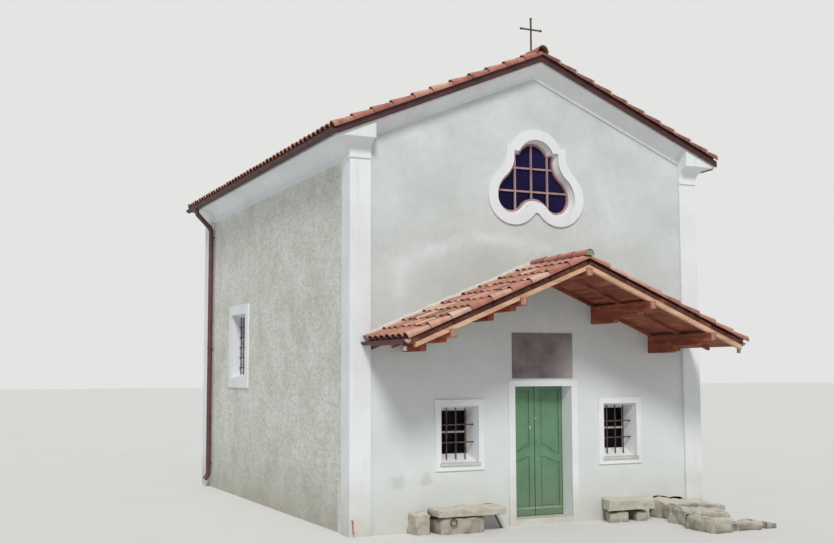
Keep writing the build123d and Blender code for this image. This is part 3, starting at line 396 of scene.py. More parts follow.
def repaired_patch(look):
    """The arched patch of newer plaster above the canopy, with a pale edge."""
    across = look.minus(look.axis("X"), patch_x)
    arch = look.times(look.times(across, across), patch_bend)
    rise = look.minus(look.plus(look.axis("Z"), arch), patch_top)
    leg = look.minus(patch_left, look.axis("X"))
    wobble = look.times(look.minus(look.noise(1.9, 5, 0.6), 0.5), 0.34)
    edge = look.plus(look.calculated("MAXIMUM", rise, leg), wobble)
    above = look.span(look.axis("Z"), *patch_foot)
    fade = look.times(look.span(look.axis("X"), *patch_right), above)
    inside = look.times(look.span(edge, -0.06, -0.3), fade)
    look.stain(inside, 0.3, rgb(184, 194, 188))
    near = look.times(look.span(look.absolute(edge), 0.16, 0.02), fade)
    broken = look.patches(0.3, 0.6, 2.7, 4, 0.6)
    look.stain(look.times(near, broken), 0.62, rgb(227, 234, 238))


def smooth_plaster():
    """Mottled plaster on the front, white in the reveals, and roughcast round the corners."""
    look = Finish("smooth_plaster", 0.85)
    look.shades(
        look.noise(1.1, 6, 0.66),
        (0.3, rgb(194, 200, 198)),
        (0.5, rgb(206, 212, 211)),
        (0.72, rgb(217, 223, 224)),
    )
    look.stain(look.patches(0.5, 0.68, 9, 5, 0.7), 0.25, rgb(188, 193, 187))
    lower = look.span(look.plus(look.axis("Z"), look.noise(1.1, 3)), *lower_plaster)
    look.stain(lower, 0.6, rgb(223, 229, 230))
    repaired_patch(look)
    for x, z, reach in damp_spots:
        look.stain(look.spot(x, z, reach), 0.42, rgb(180, 176, 156))
    ground_grime(look, rgb(190, 189, 178), 0.4)
    reveal = look.over(look.axis("Y"), front_y + front_skin)
    front = look.blend(reveal, look.painted, reveal_white)
    rough = roughcast(look)
    side = look.over(look.absolute(look.axis("X")), side_x - side_skin)
    look.paint(look.blend(side, front, look.painted))
    fine = look.times(look.noise(55, 4, 0.6), 0.06)
    trowel = look.times(look.noise(7, 3, 0.5), 0.5)
    look.bump(look.blend(side, look.plus(fine, trowel), rough), 0.5, 0.006)


def rough_render():
    """Roughcast on the outer faces, and white in the reveals and inside."""
    look = Finish("rough_render", 0.92)
    relief = roughcast(look)
    ground_grime(look, rgb(158, 153, 134), 0.6)
    between = look.under(look.absolute(look.axis("X")), side_x - side_skin)
    within = look.under(look.absolute(look.axis("Y")), back_y - back_skin)
    look.paint(look.blend(look.times(between, within), look.painted, reveal_white))
    look.bump(relief, 0.75, 0.009)


def white_trim():
    look = Finish("white_trim", 0.78)
    look.shades(
        look.noise(1.3, 5, 0.6),
        (0.32, rgb(222, 226, 228)),
        (0.6, reveal_white),
        (0.8, rgb(236, 240, 243)),
    )
    streaks = look.patches(0.56, 0.72, 1, 4, 0.6, look.scaled(8, 8, 0.7))
    look.stain(streaks, 0.22, rgb(196, 194, 184))
    ground_grime(look, rgb(178, 173, 156), 0.4)
    look.bump(look.noise(38, 5, 0.6), 0.25, 0.004)


def stone_floor():
    look = Finish("stone_floor", 0.8)
    look.two_tone(rgb(150, 145, 132), rgb(184, 178, 163), 3.2, 6, 0.6)
    joints = look.cells(2.1, "DISTANCE_TO_EDGE")
    look.paint(look.blend(look.span(joints, 0.035, 0.0), look.painted, rgb(98, 92, 82)))
    look.bump(look.span(joints, 0.0, 0.05), 0.7, 0.006)
    look.bump(look.noise(40, 5), 0.3, 0.004)


def timber(name, dark, middle, light, stretch):
    """Wood with grain along the axis whose stretch is the smallest; a high tint is darker."""
    look = Finish(name, 0.72)
    grain = look.scaled(*stretch)
    swirl = look.noise(0.9, 3, 0.5, grain)
    rings = look.noise(3.5, 6, 0.7, grain)
    fibres = look.noise(11, 4, 0.7, grain)
    mixed = look.plus(look.times(swirl, 0.3), look.times(rings, 0.7))
    wood = look.ramp(mixed, (0.36, dark), (0.52, middle), (0.66, light))
    # Darker for a higher tint, which gives the planks random tones and their ends painted shade.
    boards = look.ramp(
        look.tint(),
        (0.0, rgb(255, 255, 255)),
        (0.7, rgb(168, 160, 156)),
        (1.0, rgb(96, 82, 78)),
    )
    look.paint(look.blend(0.8, wood, boards, "MULTIPLY"))
    look.stain(look.patches(0.55, 0.7, 5, 4), 0.3, light)
    look.roughness(fibres, 0.6, 0.87)
    look.bump(look.plus(rings, look.times(fibres, 0.6)), 0.5, 0.004)
    return look


def green_paint():
    look = Finish("green_paint", 0.55)
    grain = look.noise(4, 6, 0.7, look.scaled(11, 11, 0.7))
    look.shades(
        look.noise(2.2, 5, 0.6),
        (0.3, rgb(88, 126, 98)),
        (0.52, rgb(100, 140, 108)),
        (0.75, rgb(114, 152, 120)),
    )
    look.stain(look.span(grain, 0.56, 0.68), 0.4, rgb(78, 112, 86))
    chips = look.patches(0.66, 0.7, 21, 5, 0.65, look.scaled(1, 1, 0.4))
    look.stain(chips, 0.5, rgb(136, 150, 124))
    ground_grime(look, rgb(112, 124, 100), 0.5)
    # Painted shade in the grooves and mouldings of the door's panels.
    look.stain(look.shade_in_hollows(0.03, 0.35, 0.9), 0.85, rgb(38, 62, 46))
    # A ragged pale line along the leaves' bottom rail: a painted highlight where its edge catches
    # the light.
    height = look.axis("Z")
    edge = look.times(look.span(height, *rail_highlight_below), look.span(height, *rail_highlight_above))
    ragged = look.times(edge, look.patches(0.3, 0.45, 6, 3))
    look.stain(ragged, 0.7, rgb(168, 190, 160))
    look.roughness(grain, 0.5, 0.75)
    look.bump(grain, 0.35, 0.003)


def painted_metal(name, dark, light, rust, roughness):
    look = Finish(name, roughness, 0.15)
    look.two_tone(dark, light, 4, 5, 0.6)
    look.stain(look.patches(0.6, 0.68, 17, 6, 0.7), 0.6, rust)
    look.roughness(look.noise(9, 4), roughness - 0.1, roughness + 0.15)
    look.bump(look.noise(60, 4), 0.15, 0.002)


def clay_tiles():
    """Fired clay, dark for a low tint and pale for a high one, with painted shade in its laps."""
    look = Finish("clay_tiles", 0.85)
    each = look.ramp(
        look.tint(),
        (0.0, rgb(76, 38, 38)),
        (0.16, rgb(124, 66, 58)),
        (0.36, rgb(166, 94, 78)),
        (0.6, rgb(194, 126, 106)),
        (0.82, rgb(220, 172, 148)),
        (1.0, rgb(228, 204, 184)),
    )
    flame = look.noise(6, 6, 0.65)
    burnt = look.ramp(flame, (0.3, rgb(140, 78, 68)), (0.6, rgb(212, 160, 142)))
    look.paint(look.blend(0.35, each, burnt))
    look.stain(look.patches(0.56, 0.68, 19, 6, 0.75), 0.45, rgb(216, 200, 184))
    look.stain(look.patches(0.52, 0.68, 4.6, 6, 0.75), 0.6, rgb(84, 48, 46))
    # Paler upward faces, partly weathering and partly painted light from above.
    look.stain(look.upward(0.7, 0.95), 0.22, rgb(208, 180, 156))
    # Darker steep sides, partly less weathered clay and partly painted shade.
    look.stain(look.upward(0.62, 0.2), 0.5, rgb(98, 46, 44))
    # Painted shade in the laps and channels between the tiles.
    look.stain(look.shade_in_hollows(0.09, 0.15, 0.7), 0.85, rgb(52, 28, 28))
    look.roughness(flame, 0.74, 0.95)
    look.bump(look.noise(45, 5, 0.65), 0.4, 0.004)


def wrought_iron():
    """Dark iron, with rust on the hook at the left pilaster."""
    look = Finish("wrought_iron", 0.6, 0.55)
    look.shades(
        look.noise(14, 6, 0.65),
        (0.3, rgb(64, 54, 52)),
        (0.58, rgb(104, 88, 82)),
        (0.8, rgb(132, 100, 82)),
    )
    left = look.under(look.axis("X"), hook_x)
    hook = look.times(left, look.under(look.axis("Y"), front_y))
    rust = look.ramp(look.noise(18, 5), (0.35, rgb(168, 96, 78)), (0.7, rgb(222, 160, 140)))
    look.stain(hook, 0.85, rust)
    look.roughness(look.noise(30, 4), 0.5, 0.85)
    look.bump(look.noise(80, 5, 0.6), 0.3, 0.002)


def dressed_stone():
    look = Finish("sill_stone", 0.8)
    look.shades(
        look.noise(2.5, 6, 0.65),
        (0.3, rgb(182, 182, 170)),
        (0.55, rgb(204, 205, 195)),
        (0.8, rgb(216, 217, 209)),
    )
    look.stain(look.patches(0.58, 0.7, 70, 3), 0.4, rgb(150, 147, 138))
    look.bump(look.noise(36, 6, 0.65), 0.35, 0.004)


def window_glass():
    """Dark glass as painted shade, with a painted sky-blue reflection in the gable window."""
    look = Finish("window_glass", 0.12)
    look.shader.inputs["IOR"].default_value = 1.45
    look.shader.inputs["Specular IOR Level"].default_value = 0.1
    # Near black below, the painted shade of the dark inside; navy above, a painted reflection of
    # the sky.
    low = look.ramp(look.noise(0.9, 3), (0.35, rgb(4, 4, 10)), (0.7, rgb(12, 12, 20)))
    high = look.ramp(look.noise(0.9, 3), (0.35, rgb(18, 14, 50)), (0.7, rgb(34, 28, 74)))
    look.paint(look.blend(look.over(look.axis("Z"), gable_window_low), low, high))
    look.roughness(look.noise(2.4, 4), 0.08, 0.2)
    look.bump(look.noise(2.2, 2), 0.05, 0.01)


def bare_panel():
    """Bare render over the door, pale at its lower right corner."""
    look = Finish("bare_panel", 0.9)
    look.shades(
        look.noise(3.2, 7, 0.7),
        (0.3, rgb(98, 90, 96)),
        (0.5, rgb(126, 116, 120)),
        (0.72, rgb(146, 136, 134)),
    )
    look.stain(look.patches(0.52, 0.66, 9, 6, 0.7), 0.5, rgb(124, 104, 92))
    corner = look.times(look.span(look.axis("X"), 0.3, 0.75), look.span(look.axis("Z"), 3.1, 2.6))
    look.stain(corner, 0.8, rgb(186, 184, 176))
    look.bump(look.noise(24, 6, 0.7), 0.6, 0.006)


def field_stone():
    """Split stone: pale on top, dark in its seams, painted shade in its joints, with moss and rust.
    """
    look = Finish("field_stone", 0.88)
    each = look.ramp(
        look.tint(),
        (0.0, rgb(134, 126, 116)),
        (0.5, rgb(186, 182, 168)),
        (1.0, rgb(216, 213, 196)),
    )
    veins = look.ramp(
        look.noise(5, 7, 0.7),
        (0.3, rgb(128, 122, 110)),
        (0.5, rgb(182, 179, 164)),
        (0.75, rgb(210, 208, 194)),
    )
    look.paint(look.blend(0.5, each, veins))
    look.stain(look.patches(0.56, 0.7, 3.4, 6, 0.7), 0.4, rgb(142, 142, 120))
    # Paler upward faces, partly weathering and partly painted light from above.
    look.stain(look.upward(0.55, 0.95), 0.6, rgb(224, 222, 206))
    seams = look.noise(2.2, 8, 0.75, look.scaled(1, 1, 2.6))
    look.stain(look.span(seams, 0.54, 0.68), 0.62, rgb(104, 92, 88))
    rust = look.patches(0.58, 0.7, 3.1, 6, 0.7, look.scaled(1.2, 1.2, 1.9))
    look.stain(rust, 0.4, rgb(168, 140, 118))
    # Painted shade in the stones' hollows and joints, and where they meet the wall.
    look.stain(look.shade_in_hollows(0.16, 0.1, 0.7), 0.7, rgb(92, 82, 76))
    look.bump(seams, 0.6, 0.03)
    look.bump(look.noise(16, 8, 0.7), 0.7, 0.012)


def mortar(name, dark, light):
    look = Finish(name, 0.95)
    look.two_tone(dark, light, 12, 6, 0.7)
    look.bump(look.noise(50, 6, 0.7), 0.8, 0.006)


def rafter_wood():
    """Bare timber on the front pair of rafters, stained timber on those behind."""
    bare = (rgb(172, 132, 102), rgb(204, 164, 134), rgb(226, 194, 166))
    look = timber("light_rafter_wood", *bare, along_x)
    rings = look.noise(3.5, 6, 0.7, look.scaled(*along_x))
    stained = look.ramp(rings, (0.36, rgb(92, 42, 30)), (0.66, rgb(168, 96, 68)))
    behind = look.over(look.axis("Y"), front_y - bare_rafters_reach)
    look.paint(look.blend(behind, look.painted, stained))


def worn_zinc():
    look = Finish("worn_zinc", 0.55, 0.3)
    look.two_tone(rgb(150, 126, 122), rgb(196, 176, 172), 18, 5, 0.6)
    look.bump(look.noise(60, 4), 0.15, 0.002)


def bright_steel():
    look = Finish("bright_steel", 0.32, 0.9)
    look.two_tone(rgb(186, 184, 172), rgb(226, 224, 214), 20, 4)
    look.bump(look.noise(90, 3), 0.1, 0.001)


def pale_paint():
    look = Finish("pale_paint", 0.6)
    look.two_tone(rgb(182, 168, 160), rgb(206, 196, 188), 6, 5)
    look.stain(look.patches(0.6, 0.68, 30, 6, 0.7), 0.5, rgb(140, 118, 106))
    look.bump(look.noise(9, 5, 0.6, look.scaled(6, 6, 1)), 0.25, 0.002)


smooth_plaster()
rough_render()
white_trim()
stone_floor()
timber("roof_timber", rgb(70, 50, 36), rgb(104, 76, 54), rgb(134, 102, 76), along_y)
painted_metal("dark_sheet_metal", rgb(58, 32, 34), rgb(84, 46, 46), rgb(112, 66, 54), 0.55)
painted_metal("brown_pipe", rgb(84, 52, 54), rgb(104, 68, 70), rgb(124, 84, 70), 0.45)
clay_tiles()
wrought_iron()
green_paint()
dressed_stone()
window_glass()
timber("stained_wood", rgb(140, 106, 108), rgb(172, 136, 138), rgb(194, 162, 162), along_z)
pale_paint()
bare_panel()
rafter_wood()
timber("red_brown_wood", rgb(96, 42, 30), rgb(152, 78, 54), rgb(196, 122, 88), along_y)
timber("end_grain", rgb(176, 126, 112), rgb(212, 164, 150), rgb(230, 192, 180), cut_across)
field_stone()
mortar("pale_mortar", rgb(196, 192, 180), rgb(232, 231, 224))
mortar("ridge_mortar", rgb(112, 106, 92), rgb(168, 162, 144))
bright_steel()
worn_zinc()


def finish_the_frame():
    """Every CAD node takes the finish of its slot in the record."""
    for part in frame["record"]["subparts"]:
        mesh = frame["nodes"][part["node"]].data
        mesh.materials.clear()
        mesh.materials.append(finishes[part["material_slot"]])


# Barrel tiles

roof_slope = 0.4205
canopy_slope = 0.413
roof_crown = 0.108
canopy_crown = 0.094
roof_middle = 0.0
canopy_middle = -0.028
course = 0.35
course_lap = 1.2
past_ridge = 0.02
cover_pitch = 0.2
crown_clear = 0.004
tile_thickness = 0.014
tile_segments = 8
pan_segments = 6
pan_set_back = 0.015
verge_half = 0.088
verge_cut = 0.1

# How far single tiles are off their places, at random
tile_shift = 0.022
tile_turn = 0.05
tile_lift = (-0.008, 0.002)

# Each kind of tile at its foot and at its head: base, half width, and rise.
# The rise of all but the pans is against the crown of their layer.
verge_tile = ((0.004, verge_half + 0.004, 0.004), (0.002, verge_half - 0.016, -0.036))
cover_tile = ((0.036, 0.087, -0.036), (0.020, 0.070, -0.05))
pan_tile = ((0.056, 0.078, -0.038), (0.040, 0.092, -0.038))

# A pale band at each lap of the verge in painted shade, a painted highlight where the lapped ends
# catch the light
lap_highlight = ((0.004, verge_half + 0.006, 0.006), (0.004, verge_half + 0.004, 0.003))
lap_highlight_reach = (-0.002, 0.03)
lap_highlight_tint = 0.95

ridge_spacing = 0.40
ridge_lap = 1.14
ridge_sink = 0.02
ridge_clear = 0.002
ridge_taper = 0.016
ridge_turn = 0.02
ridge_segments = 12

# The front end of a ridge tile's mortar: how far behind the tile's end, and share of its size
stopping_profile = ((0.03, 1.0), (0.006, 1.0), (0.0, 0.8), (-0.002, 0.02))
stopping_inset = 0.012
stopping_rise = 0.018

fillet_steps = 28
fillet_ends = (0.02, 0.04)
fillet_out = 0.018
fillet_uneven = 0.012


class Slope:
    """One side of a roof: u runs along the ridge, v up the slope, n out of it."""

    def __init__(self, node, slope, crown, ridge):
        low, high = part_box(node)
        angle = math.atan(slope)
        self.side = -1 if abs(low.x) > abs(high.x) else 1
        eave = high.x if self.side > 0 else low.x
        self.edge = eave - self.side * math.sin(angle) * crown
        self.base = low.z
        self.length = abs(self.edge - ridge) / math.cos(angle)
        self.up = Vector((-self.side * math.cos(angle), 0, math.sin(angle)))
        self.out = Vector((self.side * math.sin(angle), 0, math.cos(angle)))
        self.y0 = low.y
        self.y1 = high.y
        self.crown = crown

    def at(self, u, v, n):
        return Vector((self.edge, u, self.base)) + self.up * v + self.out * n


def arc(centre_u, v, base, half, rise, segments, at, turn):
    """Points of a half ring across a slope, bulging out for a positive rise."""
    ring = []
    for across, out in half_circle(segments):
        u = -across * half
        ring.append(at(centre_u + u, v + u * turn, base + out * rise))
    return ring


def barrel_tile(sheaf, at, u, foot, head, segments, tint, flip, shell=True, turn=0.0):
    """A tapered half-round tile, with an inner face where it is a shell.

    Its foot and its head are given as (v, base, half width, rise).
    """
    cover = foot[3] > 0
    thinner = tile_thickness if cover else 0.0
    drop = 0.0 if cover else tile_thickness
    outer = [arc(u, *end, segments, at, turn) for end in (foot, head)]
    inner = []
    for v, base, half, rise in (foot, head):
        inner.append(arc(u, v, base - drop, half - thinner, rise - thinner, segments, at, turn))
    sheaf.loft(outer, tint, flip=not flip)
    sheaf.loft([inner[0], outer[0]], tint, flip=not flip)
    if shell:
        sheaf.loft(inner, tint, flip=flip)
        sheaf.loft([outer[1], inner[1]], tint, flip=not flip)


def tile_slope(node, slope, crown, ridge, seed):
    """Covers and pans of one slope in place of its solid rows.

    The front verge of the main roof's right slope is dark with painted shade, with pale bands of
    painted highlight at its laps, and its lowest tile is cut short over the gutter.
    """
    roof = Slope(node, slope, crown, ridge)
    rnd = random.Random(seed)
    width = roof.y1 - roof.y0 - 2 * verge_half
    columns = round(width / cover_pitch) + 1
    pitch = width / (columns - 1)
    rows = max(1, round(roof.length / course))
    step = roof.length / rows
    top = crown - crown_clear
    flip = roof.side > 0
    sheaf = Sheaf()

    def lay(kind, u, v, end, height, tint, shell, turn=0.0, lift=0.0):
        """A tile of a kind from v to its end, its rise being against a height."""
        foot, head = kind
        foot = (v, *foot[:2], height + lift + foot[2])
        head = (end, *head[:2], height + head[2])
        segments = pan_segments if kind is pan_tile else tile_segments
        barrel_tile(sheaf, roof.at, u, foot, head, segments, tint, flip, shell, turn)

    for row in range(rows):
        v0 = row * step
        v1 = min(v0 + step * course_lap, roof.length + past_ridge)
        for column in range(columns):
            u = roof.y0 + verge_half + column * pitch
            v = v0 + rnd.uniform(-tile_shift, tile_shift) * (row > 0)
            turn = rnd.uniform(-tile_turn, tile_turn)
            lift = rnd.uniform(*tile_lift)
            tint = drawn_tint(rnd, 0.46, 0.3)
            verge = column in (0, columns - 1)
            dark = column == 0 and node == "roof_tiles_right"
            if verge:
                v += verge_cut * (dark and row == 0)
                # On the right slope's front verge the darkest tints are painted shade.
                tint = rnd.uniform(0.0, 0.1) if dark else rnd.uniform(0.2, 1.0)
                lay(verge_tile, u, v, v1, top, tint, True, turn)
            else:
                lay(cover_tile, u, v, v1, top, tint, row == 0, turn, lift)
            # A pale band at each lap of that verge, a painted highlight where the lapped ends catch
            # the light.
            if dark:
                start, end = [v + part for part in lap_highlight_reach]
                lay(lap_highlight, u, start, end, top, lap_highlight_tint, False, turn)
            if column < columns - 1:
                # Pans take darker tints than the covers: painted shade in the channels between
                # them.
                tint = drawn_tint(rnd, 0.12, 0.15)
                lay(pan_tile, u + pitch / 2, v + pan_set_back, v1, 0.0, tint, row == 0)
    piece = sheaf.piece(node + "_barrel", "clay_tiles", crease=50)
    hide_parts(node)
    return roof


def ridge_row(node, seed):
    """Half-round ridge tiles that overlap along the ridge, open at the front."""
    low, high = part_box(node)
    rnd = random.Random(seed)
    radius = (high.x - low.x) / 2
    centre = (high.x + low.x) / 2
    base = high.z - radius
    length = high.y - low.y
    count = round(length / ridge_spacing)
    step = length / count
    wide = radius - ridge_clear
    narrow = wide - ridge_taper

    def at(u, v, n):
        return Vector((centre - u, low.y + v, base + n))

    sheaf = Sheaf()
    for index in range(count):
        v0 = index * step
        v1 = min(v0 + step * ridge_lap, length)
        tint = drawn_tint(rnd, 0.55, 0.2)
        foot = (v0, -ridge_sink, wide, wide + ridge_sink)
        head = (v1, -ridge_sink, narrow, narrow + ridge_sink)
        turn = rnd.uniform(-ridge_turn, ridge_turn)
        barrel_tile(sheaf, at, 0.0, foot, head, ridge_segments, tint, False, True, turn)
    piece = sheaf.piece(node + "_barrel", "clay_tiles", crease=50)
    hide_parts(node)


def ridge_stopping(name, node):
    """The mortar that closes the front end of a ridge tile."""
    low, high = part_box(node)
    middle = (low.x + high.x) / 2
    half = (high.x - low.x) / 2
    radius = half - stopping_inset
    base = high.z - half - ridge_sink
    outline = half_circle(ridge_segments)
    rings = []
    for behind, share in stopping_profile:
        sizes = (radius * share, (radius + stopping_rise) * share)
        rings.append(facing_ring(middle, low.y + behind, base, outline, *sizes))
    sheaf = Sheaf()
    sheaf.loft(rings, closed=True, flip=True)
    sheaf.piece(name, "white_trim", finish="ridge_mortar")


def mortar_fillet(name, roof, seed):
    """The pale fillet of mortar where the canopy's tiles meet the front wall."""
    rnd = random.Random(seed)
    rings = []
    for index in range(fillet_steps + 1):
        v = fillet_ends[0] + (roof.length - sum(fillet_ends)) * index / fillet_steps
        out = fillet_out + rnd.uniform(0, fillet_uneven)
        rise = roof.crown + rnd.uniform(-0.006, 0.008)
        section = ((0.0, rise + 0.012), (out * 0.7, rise), (out, rise - 0.03), (out, 0.03))
        rings.append([roof.at(front_y - back, v, n) for back, n in section])
    sheaf = Sheaf()
    sheaf.loft(rings, flip=roof.side < 0)
    sheaf.piece(name, "white_trim", finish="pale_mortar")


# Canopy boards

planks = 9
plank_thickness = 0.088
plank_thinner = 0.010
plank_gap = 0.003
plank_start = (0.008, 0.034)
plank_wall_gap = 0.001

# The bare ends of the purlins: how far out each ring is, and how far inside the purlin's edge
end_profile = ((0.0, 0.002), (0.003, 0.004), (0.006, 0.014))
end_segments = 20
end_square = 0.9
end_squareness = 0.55


def canopy_planks(node, seed):
    """Planks along the canopy in place of one board layer, with uneven front ends."""
    rnd = random.Random(seed)
    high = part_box(node)[1]
    roof = Slope(node, canopy_slope, plank_thickness, canopy_middle)
    flip = roof.side > 0
    sheaf = Sheaf()
    for index in range(planks):
        v0 = roof.length * index / planks + plank_gap
        v1 = roof.length * (index + 1) / planks - plank_gap
        top = plank_thickness - rnd.uniform(0.0, plank_thinner)
        start = roof.y0 + rnd.uniform(*plank_start)
        corners = ((v0, 0.0), (v1, 0.0), (v1, top), (v0, top))
        ends = (start, high.y - plank_wall_gap)
        rings = [[roof.at(y, v, n) for v, n in corners] for y in ends]
        sheaf.loft(rings, rnd.uniform(0.0, 0.6), closed=True, flip=flip)
        # The plank ends take a high tint, dark partly as end grain and partly as painted shade
        # under the verge tiles.
        around = (0, 1, 2, 3)
        sheaf.add(rings[0], [around[::-1]], 0.95, flip=flip)
        sheaf.add(rings[1], [around], 0.95, flip=flip)
    piece = sheaf.piece(node + "_planks", "red_brown_wood", crease=30)
    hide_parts(node)


def purlin_ends():
    """The bare end grain of the canopy's purlins, a little paler than their stained sides."""
    outline = []
    for across, rise in circle(end_segments, math.pi / end_segments):
        boxed = end_square / max(abs(across), abs(rise))
        share = boxed * end_squareness + 1 - end_squareness
        outline.append((across * share, rise * share))
    sheaf = Sheaf()
    for low, high in islands("canopy_purlins"):
        middle = (low + high) / 2
        half = (high - low) / 2
        rings = []
        for out, inset in end_profile:
            sizes = (half.x - inset, half.z - inset)
            rings.append(facing_ring(middle.x, low.y - out, middle.z, outline, *sizes))
        sheaf.loft(rings, 0.6, closed=True, caps=True)
    sheaf.piece("purlin_end_grain", "light_rafter_wood", finish="end_grain")


# Rough stones

# How each kind of stone is hewn, and the tints that its stones take in turn
hewing = {
    "bench_slabs": {"rounding": 0.055, "relief": 0.04, "grain": 2.7, "cell": 0.024},
    "bench_blocks": {"rounding": 0.07, "relief": 0.06, "grain": 2.9, "cell": 0.025},
    "edge_stones": {"rounding": 0.12, "relief": 0.11, "grain": 2.3, "cell": 0.03, "fall": 0.28},
}
stone_tints = {
    "bench_slabs": (0.66, 0.8),
    "bench_blocks": (0.5, 0.12, 0.45, 0.35),
    "edge_stones": (0.4, 0.35, 0.25, 0.55, 0.2),
}
first_stone_seed = 3
seed_stride = (7.31, 3.77, 5.19)
rounding_share = 0.45

# The right bench's left end is cut at a slant
slanted_between = (0.9, 1.2)
slanted_by = 0.19


def rough_stone(sheaf, low, high, seed, tint, slant, rounding, relief, grain, cell, fall=0.0):
    """A hewn block inside low..high: rounded, uneven, flat on the ground and at its back."""
    size = high - low
    rounding = min(rounding, size.z * rounding_share)
    counts = [max(2, round(length / cell)) for length in size]
    offset = Vector([seed * stride for stride in seed_stride])
    index_of = {}
    verts = []

    def point(cells):
        """Index of the point at a corner of the grid, made when it is first needed."""
        if cells in index_of:
            return index_of[cells]
        p = Vector([low[a] + size[a] * cells[a] / counts[a] for a in range(3)])
        core_x = min(max(p.x, low.x + rounding), high.x - rounding)
        core_y = min(max(p.y, low.y + rounding), high.y)
        core_z = min(max(p.z, low.z), high.z - rounding)
        core = Vector((core_x, core_y, core_z))
        away = p - core
        if away.length > 1e-6:
            n = away.normalized()
            wave = noise.fractal(p * grain + offset, 0.6, 2.1, 5)
            chip = noise.noise(p * grain * 0.45 + offset * 2)
            facet = noise.voronoi(p * grain * 1.4 + offset)[0][0]
            depth = relief * min(1.0, max(0.0, 0.1 + 0.4 * wave + 0.55 * chip + 0.9 * facet))
            p = core + n * rounding - n * depth
        along = (p.x - low.x) / size.x
        p.x += slant * (1 - along) * (p.y - low.y) / size.y
        p.z = low.z + (p.z - low.z) * (1 - fall * along)
        verts.append(p)
        index_of[cells] = len(verts) - 1
        return index_of[cells]

    faces = []
    for axis in range(3):
        b, c = (axis + 1) % 3, (axis + 2) % 3
        for end in (0, counts[axis]):
            for i in range(counts[b]):
                for j in range(counts[c]):
                    ring = []
                    for di, dj in ((0, 0), (1, 0), (1, 1), (0, 1)):
                        cells = [0, 0, 0]
                        cells[axis], cells[b], cells[c] = end, i + di, j + dj
                        ring.append(point(tuple(cells)))
                    faces.append(ring if end else ring[::-1])
    sheaf.add(verts, faces, tint)


def stones():
    """Bench slabs, the blocks that bear them, and the rough stones beside the bench."""
    for node, cut in hewing.items():
        tints = stone_tints[node]
        sheaf = Sheaf()
        for index, (low, high) in enumerate(islands(node)):
            tint = tints[index % len(tints)]
            slanted = node != "edge_stones" and slanted_between[0] < low.x < slanted_between[1]
            slant = slanted_by if slanted else 0.0
            rough_stone(sheaf, low, high, first_stone_seed + index, tint, slant, **cut)
        piece = sheaf.piece(node + "_hewn", "field_stone", crease=38)
        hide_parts(node)


# Ironwork

# Front windows: the painted band, and the bars in the opening
window_band = 0.097
front_bar_half = 0.0085
front_bar_depth = 0.13
front_bar_levels = (1.31, 1.58)
front_bar_foot = 1.03
front_bar_past_top = 0.005
front_bar_let_in = 0.01

# Side windows
side_bar_half = 0.009
side_bar_depth = 0.145
side_bar_spacing = 0.19
side_bar_levels = (2.49, 2.69, 2.89, 3.09, 3.29)
side_bar_rise = (2.28, 3.54)
side_bar_reach = 0.485

# Downpipes and gutters
pipe_off_wall = 0.072
pipe_band_heights = (0.5, 1.45, 2.9, 4.35, 5.1)
band_segments = 20
strap_count = 11
strap_from_end = 0.25
strap_half = 0.014
strap_thickness = 0.005
strap_segments = 12
canopy_gutter_radius = 0.052
sleeve_lift = 0.004

# The cap on a gutter's front end, and a latch plate with its boss: how far out, and size or inset
gutter_cap = ((0.0, 0.05), (0.004, 0.049), (0.005, 0.002))
cap_segments = 14
cap_drop = 0.002
plate_insets = ((0.0, 0.0), (0.004, 0.0), (0.006, 0.004))
boss_profile = ((0.006, 0.009), (0.012, 0.008), (0.015, 0.005), (0.015, 0.001))
boss_segments = 12
plate_clear = 0.0005


def grille(sheaf, origin, along, depth, half, places, rise, levels, ends):
    """Upright bars at places along an axis, crossed by flat ones let into the reveals."""
    for place in places:
        foot, head = [origin + along * place + z_axis * z for z in rise]
        sheaf.bar(foot, head, along * half, depth * half, 0.4, 0.35)
    for level in levels:
        start, end = [origin + along * place + z_axis * level for place in ends]
        sheaf.bar(start, end, depth * half * 1.15, z_axis * half * 1.2, 0.5, 0.3)


def front_grilles():
    """Three uprights at the quarters of each front opening, and two cross bars."""
    origin = y_axis * (front_y + front_bar_depth)
    sheaf = Sheaf()
    for low, high in islands("front_window_surrounds"):
        left = low.x + window_band
        right = high.x - window_band
        places = [left + (right - left) * step / 4 for step in (1, 2, 3)]
        rise = (front_bar_foot, high.z - window_band + front_bar_past_top)
        ends = (left - front_bar_let_in, right + front_bar_let_in)
        grille(sheaf, origin, x_axis, y_axis, front_bar_half, places, rise, front_bar_levels, ends)
    sheaf.piece("front_window_bars", "wrought_iron")


def side_grilles():
    """Five uprights and five cross bars in each side opening, deep in its white reveal."""
    low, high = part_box("side_window_glass")
    middle = (low.y + high.y) / 2
    places = [middle + side_bar_spacing * step for step in range(-2, 3)]
    ends = (middle - side_bar_reach, middle + side_bar_reach)
    rise = side_bar_rise
    sheaf = Sheaf()
    for side in (-1, 1):
        origin = x_axis * side * (side_x - side_bar_depth)
        grille(sheaf, origin, y_axis, x_axis, side_bar_half, places, rise, side_bar_levels, ends)
    sheaf.piece("side_window_bars", "wrought_iron")


def ring_band(sheaf, centre, radius, height, thickness):
    """A flat band round an upright pipe."""
    outer = radius + thickness
    profile = ((radius, 0), (outer, 0), (outer, height), (radius, height))
    rings = []
    for x, y in circle(band_segments):
        spoke = Vector((x, y, 0))
        rings.append([centre + spoke * r + z_axis * z for r, z in profile])
    rings.append(rings[0])
    sheaf.loft(rings, closed=True)


